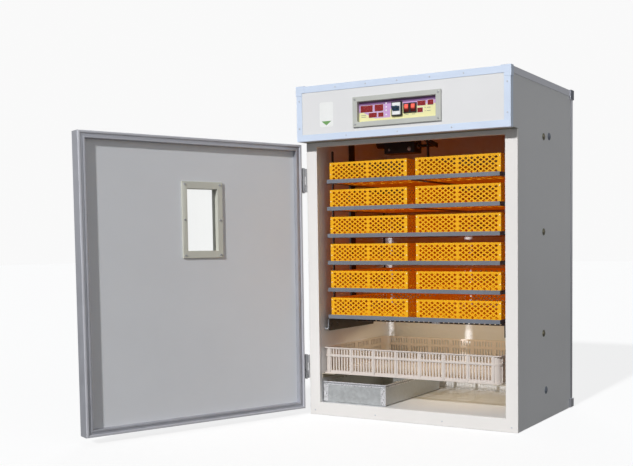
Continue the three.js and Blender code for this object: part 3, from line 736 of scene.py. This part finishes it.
def lattice(length, height):
    """Staggered diamonds in a tray wall's two halves, with a plain post at each end and in the middle."""
    half, end_post, middle_post, wanted = length / 2, 20, 12, 24
    run = half - (end_post + middle_post)
    count = round(run / wanted)
    pitch = run / count
    holes = []
    a, b = HOLE
    for start in (end_post, half + middle_post):
        for row in range(LATTICE_ROWS):
            v = height - LATTICE_TOP - row * LATTICE_STEP
            for k in range(count + 1 - row % 2):
                u = start + (row % 2) * pitch / 2 + k * pitch
                holes.append([(u - a, v), (u, v + b), (u + a, v), (u, v - b)])
        for k in range(count):
            u, v = start + (k + 0.5) * pitch, height - 9.6
            holes.append([(u - 2.6, v), (u, v + 2.3), (u + 2.6, v)])
    return holes


def partition(length, cells):
    """An upright divider between rows of eggs, dipped in the middle of every cell."""
    pitch, low, high = length / cells, 14, 26
    outline = [(0, 1.5), (length, 1.5)]
    for cell in reversed(range(cells)):
        for share in (1.0, 0.86, 0.68, 0.5, 0.32, 0.14):
            lift = abs(2 * share - 1) ** 1.6
            outline.append(((cell + share) * pitch, low + (high - low) * lift))
    return outline + [(0, high)]


def tray_shape(width, depth, height):
    """One egg tray, from the middle of its front edge on the floor of the level."""
    shape = Shape()
    side = width / 2
    butt = TRAY_WALL - 0.1
    run = depth - 2 * butt
    for length, move in (
        (width, at(-side, TRAY_WALL, 0, FRONT)),
        (width, at(side, depth - TRAY_WALL, 0, BACK)),
        (run, at(side - TRAY_WALL - 0.2, butt, 0, RIGHT)),
        (run, at(-side + TRAY_WALL + 0.2, depth - butt, 0, LEFT)),
    ):
        shape.plate(rectangle(0, 0, length, height - 0.4), lattice(length, height), 0, TRAY_WALL, move)
        middle = length / 2
        shape.box((middle - 4, 0.5, 0.3), (middle + 4, height - 1, TRAY_WALL + 0.5), move)
    lip = [(-0.3, height - 4), (-0.3, height), (4.4, height), (4.4, height - 4)]
    shape.ring((-side, 0), (side, depth), lip)
    for x in (-side + 0.5, side - 7.5):
        for y in (0.5, depth - 7.5):
            shape.box((x, y, 0.5), (x + 7, y + 7, height - 1.5))
    inner_w, inner_d, divider = width - 2 * TRAY_WALL, depth - 2 * TRAY_WALL, 1.6
    across, along = round(inner_w / CELL), round(inner_d / CELL)
    step_x, step_y = inner_w / across, inner_d / along
    x0, y0 = -inner_w / 2, TRAY_WALL
    wells = [(x0 + (i + 0.5) * step_x, y0 + (k + 0.5) * step_y) for i in range(across) for k in range(along)]
    floor = rectangle(x0, y0, -x0, y0 + inner_d)
    shape.plate(floor, [circle(x, y, 16, 8) for x, y in wells], 0, 2.5)
    for i in range(1, across):
        move = at(x0 + i * step_x - divider / 2, y0, 0, RIGHT)
        shape.plate(partition(inner_d, along), [], 0, divider, move)
    for k in range(1, along):
        move = at(x0, y0 + k * step_y + divider / 2, 0, FRONT)
        shape.plate(partition(inner_w, across), [], 0, divider, move)
    # The studs below take the pale second finish, a painted highlight for glints on the snap studs.
    shape.paint = 1
    for x in (-side + 4.6, side - 4.6):
        for z in (height - 9, height - 48):
            shape.lathe([(2.7, 0), (2.5, 0.7), (1.3, 1.3)], 12, at(x, 0, z, FRONT))
    return shape


def build_trays():
    low, high = span("egg_tray_1_left")
    size = high - low
    mesh = mesh_of("egg_tray", tray_shape(size.x, size.y, size.z), ["tray", "pin"])
    for level in range(1, LEVELS + 1):
        for side in ("left", "right"):
            name = f"egg_tray_{level}_{side}"
            low, high = span(name)
            place = Matrix.Translation(Vector(((low.x + high.x) / 2, low.y, low.z)) * MM)
            piece(f"tray_{level}_{side}", mesh, "tray", f"level_{level}", place=place, replaces=[name])


# ---- rack

LEVELS = 6
pivots = [axis_of(name) for name in ["rack_tilt", *[f"level_{i}_tilt" for i in range(2, LEVELS + 1)]]]
pivot_y = pivots[0][1]
pivot_zs = [z for _, _, z in pivots]
crank_z = axis_of("crank_turn")[2]
# Where a pin of the connecting rod is from the axis that it turns: the top level's, and the crank's too.
PIN_Y, PIN_Z = -100, 14
CROSS_BAR_Z = 380


def build_links():
    """The upright bars that tie the levels together, round-ended, with a pin head at each level."""
    for end in ("front", "rear"):
        for side, (sign, facing) in zip(("left", "right"), SIDES):
            name = f"link_bar_{end}_{side}"
            low, high = span(name)
            half, thick = (high.y - low.y) / 2, high.x - low.x
            move = at(low.x if sign > 0 else high.x, (low.y + high.y) / 2, 0, facing)
            shape = Shape()
            shape.plate(rounded(-half, low.z, half, high.z, half - 0.1, 6), [], 0, thick, move)
            for z in pivot_zs:
                shape.lathe([(4.6, -0.5), (4.6, 0.3), (3.8, 0.6)], 16, move @ at(0, z, thick))
            body = f"link_{end}_{side}"
            piece(f"upright_{end}_{side}", shape, "steel_dark", body, edge=0.5, replaces=[name])


def build_levels():
    """Angle-iron frames, each with two flat bars on edge down its middle and pins for the link bars."""
    half, bar, thick = 8, 16, 2.5
    angle = [(0, -half), (0, half), (thick, half), (thick, thick - half), (bar, thick - half), (bar, -half)]
    reach = span("link_bar_front_right")[0].x - 2.5
    links = [span(f"link_bar_{end}_right") for end in ("front", "rear")]
    for i, z in enumerate(pivot_zs, 1):
        name = f"level_frame_{i}"
        low, high = span(name)
        depth = (high.y - low.y) / 2
        move = at(0, pivot_y, z)
        shape = Shape().ring((-reach, -depth), (reach, depth), angle, move)
        for x in (-17, 15):
            shape.box((x, 0.5 - depth, 0.3 - half), (x + 2, depth - 0.5, -1), move)
        for sign, facing in SIDES:
            for link_low, link_high in links:
                y = (link_low.y + link_high.y) / 2
                shape.lathe([(4, -3), (4, 5.6)], 14, at(sign * reach, y, z, facing))
        if i == 1:
            shape.box((-3, PIN_Y - 13, 0.6 - half), (3, PIN_Y + 13, PIN_Z + 7), move)
            shape.lathe([(4, -3), (4, 12)], 14, at(0, pivot_y + PIN_Y, z + PIN_Z, RIGHT))
        piece(f"level_{i}_angle", shape, "level", f"level_{i}", edge=0.5, replaces=[name])


def build_stand():
    """Posts, side plates, pivot pins and the slotted cross bar that carry the rack."""
    low, high = span("rack_stand")
    frame_out = span("level_frame_1")[1].x
    plate_x, plate_thick, plate_high = span("link_bar_front_right")[1].x + 1, 6, 50
    plate_ys, post_x, post_ys = (-275, 92), 408, (-70, -30)
    middle = low.z + plate_high / 2
    shape, bright = Shape(), Shape()
    for sign, facing in SIDES:
        shape.box((sign * post_x, post_ys[0], low.z), (sign * high.x, post_ys[1], high.z))
        inner, outer = sign * (plate_x + 3), sign * (post_x + 3)
        shape.box((inner, post_ys[0] + 1, low.z + 1), (outer, post_ys[1] - 1, low.z + plate_high - 1))
        plate = at(sign * plate_x, 0, 0, facing)
        u0, u1 = sorted(sign * y for y in plate_ys)
        us = (u0 + 18, u0 + 60, u1 - 60, u1 - 18)
        outline = rounded(u0, low.z, u1, low.z + plate_high, 5)
        shape.plate(outline, [circle(u, middle, 4.2) for u in us], 0, plate_thick, plate)
        for u in us:
            bright.lathe([(5, -0.5), (5, 2.2), (3.8, 3)], 6, plate @ at(u, middle, plate_thick))
        for z in pivot_zs:
            pin = at(sign * (frame_out - 2), pivot_y, z, facing)
            shape.lathe([(5, 0), (5, post_x - frame_out + 4)], 20, pin)
            shape.lathe([(10, 10), (10, 13.5), (8.5, 15.2)], 6, pin)
    bar_y = sum(post_ys) / 2 - 13.5
    build_cross_bar(shape, bar_y, plate_x + 2)
    piece("rack_posts", shape, "steel_dark", edge=0.7, replaces=["rack_stand"])
    clip_y, half = bar_y - 1.6, 5.5
    bright.box((-19, clip_y, CROSS_BAR_Z - half), (19, bar_y + 0.1, CROSS_BAR_Z + half))
    for x in (-12, 12):
        bright.lathe([(3, 0), (2.6, 1.2)], 14, at(x, clip_y, CROSS_BAR_Z, FRONT))
    piece("stand_fittings", bright, "zinc", edge=0.3)
    x = -(plate_x + plate_thick + 1.6)
    hook = [(x, -272, 396), (x, -272, 372), (x, -273, 364), (x - 2.5, -275, 358)]
    hook += [(x - 6, -277, 356), (x - 9, -279, 358), (x - 11, -280.5, 363)]
    piece("stand_hook", Shape().pipe(hook, 1.8, 10), "pale_screw")


def build_cross_bar(shape, front, reach):
    """An angle with a row of slots in both its legs."""
    low, high, thick, count = CROSS_BAR_Z - 4.5, CROSS_BAR_Z + 4.5, 2, 34
    slots = []
    for i in range(count):
        u = -reach + 12 + (2 * reach - 24) * i / (count - 1)
        if abs(u) > 22:
            slots.append(rectangle(u - 3.6, -1.7, u + 3.6, 1.7))
    upright = [[(u, v + CROSS_BAR_Z) for u, v in slot] for slot in slots]
    face = at(0, front + thick, 0, FRONT)
    shape.plate(rectangle(-reach, low, reach, high), upright, 0, thick, face)
    shelf = [[(u, v + front + 14) for u, v in slot] for slot in slots]
    shape.plate(rectangle(-reach, front + thick, reach, front + 26), shelf, high - thick, high)


def build_drive():
    """Finishes the gearmotor, crank and rod, and adds the bolts, cooling bands and crank washer."""
    dress("black", 1.2, "turning_gearmotor")
    dress("steel_dark", 0.6, "crank_lever", "connecting_rod")
    low, _ = span("turning_gearmotor")
    face, motor_z, box_end = pivot_y - 33, crank_z + 22, -92
    bright = Shape()
    for x, z, r in ((-212, 1164, 7), (-116, 1164, 7), (-212, 1108, 5), (-116, 1108, 9)):
        bolt_cap(bright, at(x, face, z, FRONT), r, 4)
    bright.lathe([(9, 0), (9, 3), (6, 4)], 24, at(low.x, pivot_y, motor_z, LEFT))
    bright.lathe([(11, 0), (11, 5), (9, 6)], 24, at(box_end, pivot_y, crank_z, RIGHT))
    piece("gearmotor_bolts", bright, "zinc", edge=0.4)
    bands = Shape()
    for x in (-276, -268, -260, -252):
        bands.lathe([(24.8, 0), (24.8, 3)], 40, at(x, pivot_y, motor_z, RIGHT))
    piece("gearmotor_fins", bands, "black", edge=0.4)
    pin = at(9.2, pivot_y + PIN_Y, crank_z + PIN_Z, RIGHT)
    piece("crank_washer", Shape().lathe([(7, 0), (7, 1.5), (5, 2.5)], 18, pin), "zinc", "crank")


# ---- basket and pan

BASKET_BAY = 105
SLOT_PITCH = 13.3
SLOT_WIDTH = 7


def basket_slots(length, rows):
    """Upright slots in bays along a wall; returns the slots and the places of the ribs between bays."""
    bays = round(length / BASKET_BAY)
    bay = length / bays
    each = int((bay - 10) // SLOT_PITCH)
    slots, ribs = [], [bay * i for i in range(bays + 1)]
    for i in range(bays):
        start = bay * (i + 0.5) - SLOT_PITCH * (each - 1) / 2
        for k in range(each):
            u = start + k * SLOT_PITCH
            for v0, v1 in rows:
                slots.append(rectangle(u - SLOT_WIDTH / 2, v0, u + SLOT_WIDTH / 2, v1))
    return slots, ribs


def basket_shape(low, high):
    """A slatted crate: four slotted walls, plain rounded corners, ribs, flanges and a barred floor."""
    shape = Shape()
    inset, thick, radius, flange = 4, 2.6, 26, 4.5
    x0, x1, y0, y1 = low.x + inset, high.x - inset, low.y + inset, high.y - inset
    height = high.z - low.z
    length, depth = x1 - x0 - 2 * radius, y1 - y0 - 2 * radius
    rows = [(height - 29, height - 7.5), (14, height - 40)]
    for run, move in (
        (length, at(x0 + radius, y0 + thick, low.z, FRONT)),
        (length, at(x1 - radius, y1 - thick, low.z, BACK)),
        (depth, at(x1 - thick, y0 + radius, low.z, RIGHT)),
        (depth, at(x0 + thick, y1 - radius, low.z, LEFT)),
    ):
        slots, ribs = basket_slots(run, rows)
        shape.plate(rectangle(0, 0.5, run, height - 0.5), slots, 0, thick, move)
        for u in ribs:
            shape.box((u - 4, 2, 0.5), (u + 4, height - 2, thick + 3), move)
        shape.box((0, height - 38, 0.5), (run, height - 31.5, thick + 3.4), move)
    wall = (radius - thick, radius, 0.5, height - 0.5)
    rib = (radius - 1, radius + 3.4, height - 38.1, height - 31.4)
    for x, y, start in corners(x0, y0, x1, y1, radius):
        for inner, outer, z0, z1 in (wall, rib):
            arcs = arc(x, y, outer, start, 90, 8) + arc(x, y, inner, start, 90, 8)[::-1]
            shape.plate(arcs, [], low.z + z0, low.z + z1)
    outer = rounded(low.x, low.y, high.x, high.y, 16, 5)
    inner = rounded(x0 + 1, y0 + 1, x1 - 1, y1 - 1, radius - 1, 5)
    for foot in (high.z - flange, low.z):
        shape.plate(outer, [inner], foot, foot + flange)
    slots, lanes, bars = basket_slots(length, [(0, 1)])[0], 9, []
    lane = depth / lanes
    for u in [x0 + radius + (slot[0][0] + slot[1][0]) / 2 for slot in slots]:
        for v in [y0 + radius + lane * k for k in range(lanes)]:
            bars.append(rectangle(u - 3.5, v + 5, u + 3.5, v + lane - 5))
    shape.plate(inner, bars, low.z + 2, low.z + 4.6)
    return shape


def build_basket():
    shape = basket_shape(*span("hatching_basket"))
    piece("slatted_basket", shape, "basket", "basket", replaces=["hatching_basket"])


def build_pan():
    """A folded tray of galvanised sheet: rolled hem, a crease under it, riveted corner tabs."""
    low, high = span("water_pan")
    inset, wall, foot, tab = 2, 1.2, 4, 24
    base = low.z + foot
    x0, y0, x1, y1 = low.x + inset, low.y + inset, high.x - inset, high.y - inset
    side = [(0, base), (0, high.z - 1), (wall, high.z - 1), (wall, base)]
    shape = Shape().ring((x0, y0), (x1, y1), side)
    shape.box((x0 + 0.3, y0 + 0.3, base), (x1 - 0.3, y1 - 0.3, base + wall))
    shape.box((x0 + 6, y0 + 6, low.z), (x1 - 6, y1 - 6, base + 0.2))
    hem = [(0.6, -4.6), (0, -3.6), (0, -1.2), (0.9, 0), (3.1, 0), (4, -1.2), (4, -3.6), (3.4, -4.6)]
    crease = [(1.0, -14), (0.1, -12.5), (0.1, -10.2), (1.0, -8.8), (2.4, -8.8), (2.4, -14)]
    groove = [(1.4, -8.9), (1.4, -4.5), (2.2, -4.5), (2.2, -8.9)]
    # The groove between hem and crease gets the darker copy, painted shade; the hem and crease get the
    # lighter copy, a painted highlight.
    for paint, profile in ((2, groove), (1, hem), (1, crease)):
        shape.paint = paint
        shape.ring(low, high, [(i, high.z + z) for i, z in profile])
    # The corner tabs and rivets also take the lighter copy, a painted highlight.
    for a, b in ((low.x + 0.8, low.x + tab), (high.x - tab, high.x - 0.8)):
        for y in (low.y + 1, high.y - 2):
            shape.box((a, y, base + 0.5), (b, y + 1, high.z - 15))
    for y, facing in ((low.y + 1, FRONT), (high.y - 1, BACK)):
        for x in (low.x + 10, high.x - 10):
            shape.lathe([(3.4, 0), (2.9, 1.2), (1.4, 1.9)], 16, at(x, y, low.z + 34, facing))
    shape.paint = 0
    pivot = Vector(axis_of("float_hinge"))
    x, y, z = pivot
    for middle in (x - 6.5, x + 6.5):
        shape.box((middle - 2.3, y - 6, z - 6), (middle + 2.3, high.y - 2.5, z + 6))
    shape.box((x - 9, y + 9, z - 6), (x + 9, high.y - 2.5, z + 6))
    shape.lathe([(2, -9.6), (2, 9.6)], 14, at(x, y, z, RIGHT))
    # The pan's finishes: galvanised, then its painted-highlight copy and its painted-shade copy.
    tins = ["galvanised", "tin", "tin_painted_shade"]
    piece("folded_pan", shape, tins, "pan", edge=0.4, replaces=["water_pan"])
    build_float(pivot)


def build_float(pivot):
    """A hollow ball on a brass arm, from the pin to the ball as the CAD float lies."""
    low, high = span("float_arm")
    radius = (high.x - low.x) / 2
    ball = Vector((pivot.x, low.y + radius, low.z + radius))
    arm = Shape().pipe([pivot, ball], 2.2, 12)
    arm.lathe([(5, -3.5), (5, 3.5)], 20, at(*pivot, RIGHT))
    piece("float_rod", arm, "brass", "float")
    sphere = Shape().lathe(arc(0, 0, radius, -90, 180, 16)[1:-1], 32, at(*ball))
    piece("float_ball", sphere, "float", "float", replaces=["float_arm"])


# ---- air


def build_air():
    dress("black", 1.0, "fan_frame")
    dress("black", 0.4, "fan_impeller")
    low, high = span("fan_frame")
    x, y = (low.x + high.x) / 2, (low.y + high.y) / 2
    guard = Shape()
    for radius in (20, 38, 56, 74, 92):
        guard.pipe([(*p, low.z - 2) for p in arc(x, y, radius, 0, 360, 48)], 1.2, 8)
    for spoke in (45, 135, 225, 315):
        a = math.radians(spoke)
        guard.pipe([(x + r * math.cos(a), y + r * math.sin(a), low.z - 1) for r in (18, 112)], 1.6, 8)
    piece("fan_guard", guard, "zinc")
    low, high = span("heater_element")
    radius = 70
    x, y = low.x + radius + 5, (low.y + high.y) / 2
    ring = Shape().pipe([(*p, low.z + 6) for p in arc(x, y, radius, -149, 298, 64)], 5, 16)
    ring.box((x + 60, y - 8, low.z), (x + 68, y + 8, high.z))
    piece("heater_ring", ring, "zinc", edge=0.4, replaces=["heater_element"])


# ---- door

swing = joint("door_swing")
door_turn = Matrix.Rotation(math.radians(swing["range_deg"][0]), 4, "Z")
door_place = Matrix.Translation((swing["pos_m"][0], swing["pos_m"][1], 0)) @ door_turn
# A plate's axes (across, up, out) on the door's inner face and on its outer face.
DOOR_IN, DOOR_OUT = BACK, FRONT


def door_span(name):
    """A door node's lowest and highest corner in the door's own frame, in millimetres."""
    back = door_place.inverted()
    points = [back @ v.co / MM for v in nodes[name].data.vertices]
    low = Vector([min(p[i] for p in points) for i in range(3)])
    high = Vector([max(p[i] for p in points) for i in range(3)])
    return low, high


def door_ring(name, outer, profile, look, edge, replaces):
    """A mitred ring in the door's plane from (inset, height above the hinge plane) pairs."""
    shape = Shape().ring(*outer, profile, facing_out((1, 0, 0), (0, 1, 0)))
    piece(name, shape, look, "door", edge=edge, replaces=replaces)


def build_door():
    dress("door", 0.0, "door_panel")
    dress("surround", 1.2, "window_frame")
    dress("glass", 0.0, "window_glass")
    low, high = door_span("door_rim")
    outer = (low.x, low.z), (high.x, high.z)
    back, face, crest = low.y, 3.0, high.y
    rim = [(0, back), (0, face - 2), (0.6, face - 0.6), (2, face), (18, face), (18.5, crest - 1)]
    rim += [(20, crest), (25, crest), (26.5, crest - 0.9), (27, crest - 2.2), (27, back)]
    door_ring("rim_profile", outer, rim, "rim", 0.6, ["door_rim"])
    foot = face + 0.1
    seal = [(1, foot), (1, 6.4), (1.7, 7.7), (3.2, 8.4), (7.8, 8.4), (9.3, 7.7), (10, 6.4), (10, foot)]
    door_ring("seal_profile", outer, seal, "seal", 0.0, ["door_seal"])
    build_window()
    build_handle()
    build_hinges()


def build_window():
    low, high = door_span("window_frame")
    x, z = (low.x + high.x) / 2, (low.z + high.z) / 2
    u, v = (high.x - low.x) / 2 - 11, (high.z - low.z) / 2 - 11
    spots = [(x + sx * u, z + sz * v) for sx in (-1, 1) for sz in (-1, 0, 1)]
    screws("window_screws", [at(x, high.y, z, DOOR_IN) for x, z in spots], 4.2, "zinc", "door")
    outside = door_span("door_panel")[0].y
    face = [(0, 0), (0, 4), (3, 6.5), (15, 6.5), (21, 3), (21, 0)]
    shape = Shape().ring((low.x, low.z), (high.x, high.z), face, at(0, outside, 0, DOOR_OUT))
    piece("outer_surround", shape, "surround", "door", edge=0.8)
    outer = [at(x, outside - 6.5, z, DOOR_OUT) for x, z in spots]
    screws("outer_surround_screws", outer, 3.8, "zinc", "door")


def build_handle():
    """A bow handle on two round feet."""
    low, high = door_span("door_handle")
    x, foot, top, bend = (low.x + high.x) / 2, high.y, low.y + 9, 20
    z0, z1 = low.z + 16, high.z - 16
    bow = [(x, *p) for p in arc(top + bend, z0 + bend, bend, 270, -90, 8)]
    bow += [(x, y, z0 + z1 - z) for _, y, z in reversed(bow)]
    shape = Shape().pipe([(x, foot, z0), *bow, (x, foot, z1)], 8.5, 20)
    for z in (z0, z1):
        shape.lathe([(15, 0), (15, 2.5), (12.5, 5), (9.5, 6.5)], 32, at(x, foot, z, DOOR_OUT))
    piece("bow_handle", shape, "black", "door", replaces=["door_handle"])


def build_hinges():
    x, y, _ = axis_of("door_swing")
    heads, door_heads, tips = [], [], Shape()
    for level in ("lower", "upper"):
        dress("zinc", 0.5, f"{level}_hinge_door_leaf", f"{level}_hinge_frame_leaf")
        low, high = span(f"{level}_hinge_frame_leaf")
        leaf_x = door_span(f"{level}_hinge_door_leaf")[1].x - 1.4
        for share in (0.16, 0.5, 0.84):
            z = low.z + (high.z - low.z) * share
            heads.append(at(x + 9.2, y + 28, z, LEFT))
            door_heads.append(at(leaf_x, -28, z, LEFT))
        for z, facing in ((high.z, UP), (low.z, Matrix.Rotation(math.pi, 4, "X"))):
            tips.lathe([(6.4, 0), (6.4, 1.5), (4.5, 3.5), (1.5, 4.2)], 20, at(x, y, z, facing))
    screws("hinge_frame_screws", heads, 3.6, "zinc")
    screws("hinge_door_screws", door_heads, 3.6, "zinc", "door")
    piece("hinge_pin_tips", tips, "zinc")


# ---- stage and light

SUN_STRENGTH = 2.7
SUN_FROM = (0.008, -0.883, 0.469)
AMBIENT = 0.18
FLOOR_REACH = 30


def build_stage():
    """A pale floor that shows light but bounces little, under a plain pale surround."""
    corners = [(*p, -0.0005) for p in rectangle(-FLOOR_REACH, -FLOOR_REACH, FLOOR_REACH, FLOOR_REACH)]
    mesh = bpy.data.meshes.new("floor")
    mesh.from_pydata(corners, [], [(0, 1, 2, 3)])
    floor = bpy.data.objects.new("floor", mesh)
    scene.collection.objects.link(floor)
    look, tree = blank_material("floor_pale")
    tree.nodes.remove(tree.nodes["Principled BSDF"])
    dim = node(tree, "BsdfDiffuse", {"Color": (0.32, 0.31, 0.30, 1)}).outputs["BSDF"]
    pale = node(tree, "BsdfDiffuse", {"Color": (0.27, 0.27, 0.27, 1)}).outputs["BSDF"]
    lift = node(tree, "Emission", {"Color": (1, 1, 1, 1), "Strength": 0.79}).outputs["Emission"]
    shown = node(tree, "AddShader", {0: pale, 1: lift}).outputs["Shader"]
    seen = node(tree, "LightPath").outputs["Is Camera Ray"]
    cover(tree, mixed(tree, seen, dim, shown))
    mesh.materials.append(look)


def build_world():
    world = bpy.data.worlds.new("studio")
    scene.world = world
    world.use_nodes = True
    tree = world.node_tree
    for old in list(tree.nodes):
        tree.nodes.remove(old)
    path = node(tree, "LightPath")
    skies = [((0.86, 0.93, 1.0, 1), AMBIENT), ((1, 1, 1, 1), 0.5), ((1, 1, 1, 1), 0.95)]
    fill, gleam, shown = [
        node(tree, "Background", {"Color": colour, "Strength": strength}).outputs["Background"]
        for colour, strength in skies
    ]
    lit = mixed(tree, path.outputs["Is Glossy Ray"], fill, gleam)
    node(tree, "OutputWorld", {"Surface": mixed(tree, path.outputs["Is Camera Ray"], lit, shown)})


def lamp(name, kind, direction, energy):
    """A lamp whose light travels against direction."""
    data = bpy.data.lights.new(name, kind)
    data.energy = energy
    made = bpy.data.objects.new(name, data)
    scene.collection.objects.link(made)
    made.rotation_mode = "QUATERNION"
    made.rotation_quaternion = Vector(direction).to_track_quat("Z", "Y")
    return made


def sun(name, direction, strength, softness):
    lamp(name, "SUN", direction, strength).data.angle = math.radians(softness)


def glow(name, point, direction, size, watts, colour):
    """A soft lamp inside the cabinet that isn't seen itself."""
    made = lamp(name, "AREA", direction, watts)
    made.data.shape = "RECTANGLE"
    made.data.size, made.data.size_y = size
    made.data.color = colour
    made.location = [c * MM for c in point]
    made.visible_camera = False
    made.visible_glossy = False


def build_lights():
    sun("key", SUN_FROM, SUN_STRENGTH, 3)
    sun("fill_behind", (-0.45, 0.8, 0.4), 0.5, 30)
    sun("fill_right", (0.9, -0.15, 0.35), 0.24, 40)
    glow("warm_low", (0, 20, 345), (0, -0.2, 1), (0.72, 0.4), 0.65, (1.0, 0.91, 0.61))
    glow("warm_foot", (0, -20, 168), (0, 0, 1), (0.66, 0.4), 0.16, (1.0, 0.84, 0.44))
    glow("warm_rack", (0, 240, 540), (0, 1, 0.3), (0.74, 0.18), 0.1, (1.0, 0.42, 0.07))
    scene.view_settings.view_transform = "Standard"


build_stage()
build_world()
build_lights()
build_cabinet()
build_controls()
build_trays()
build_links()
build_stand()
build_levels()
build_drive()
build_basket()
build_pan()
build_air()
build_door()
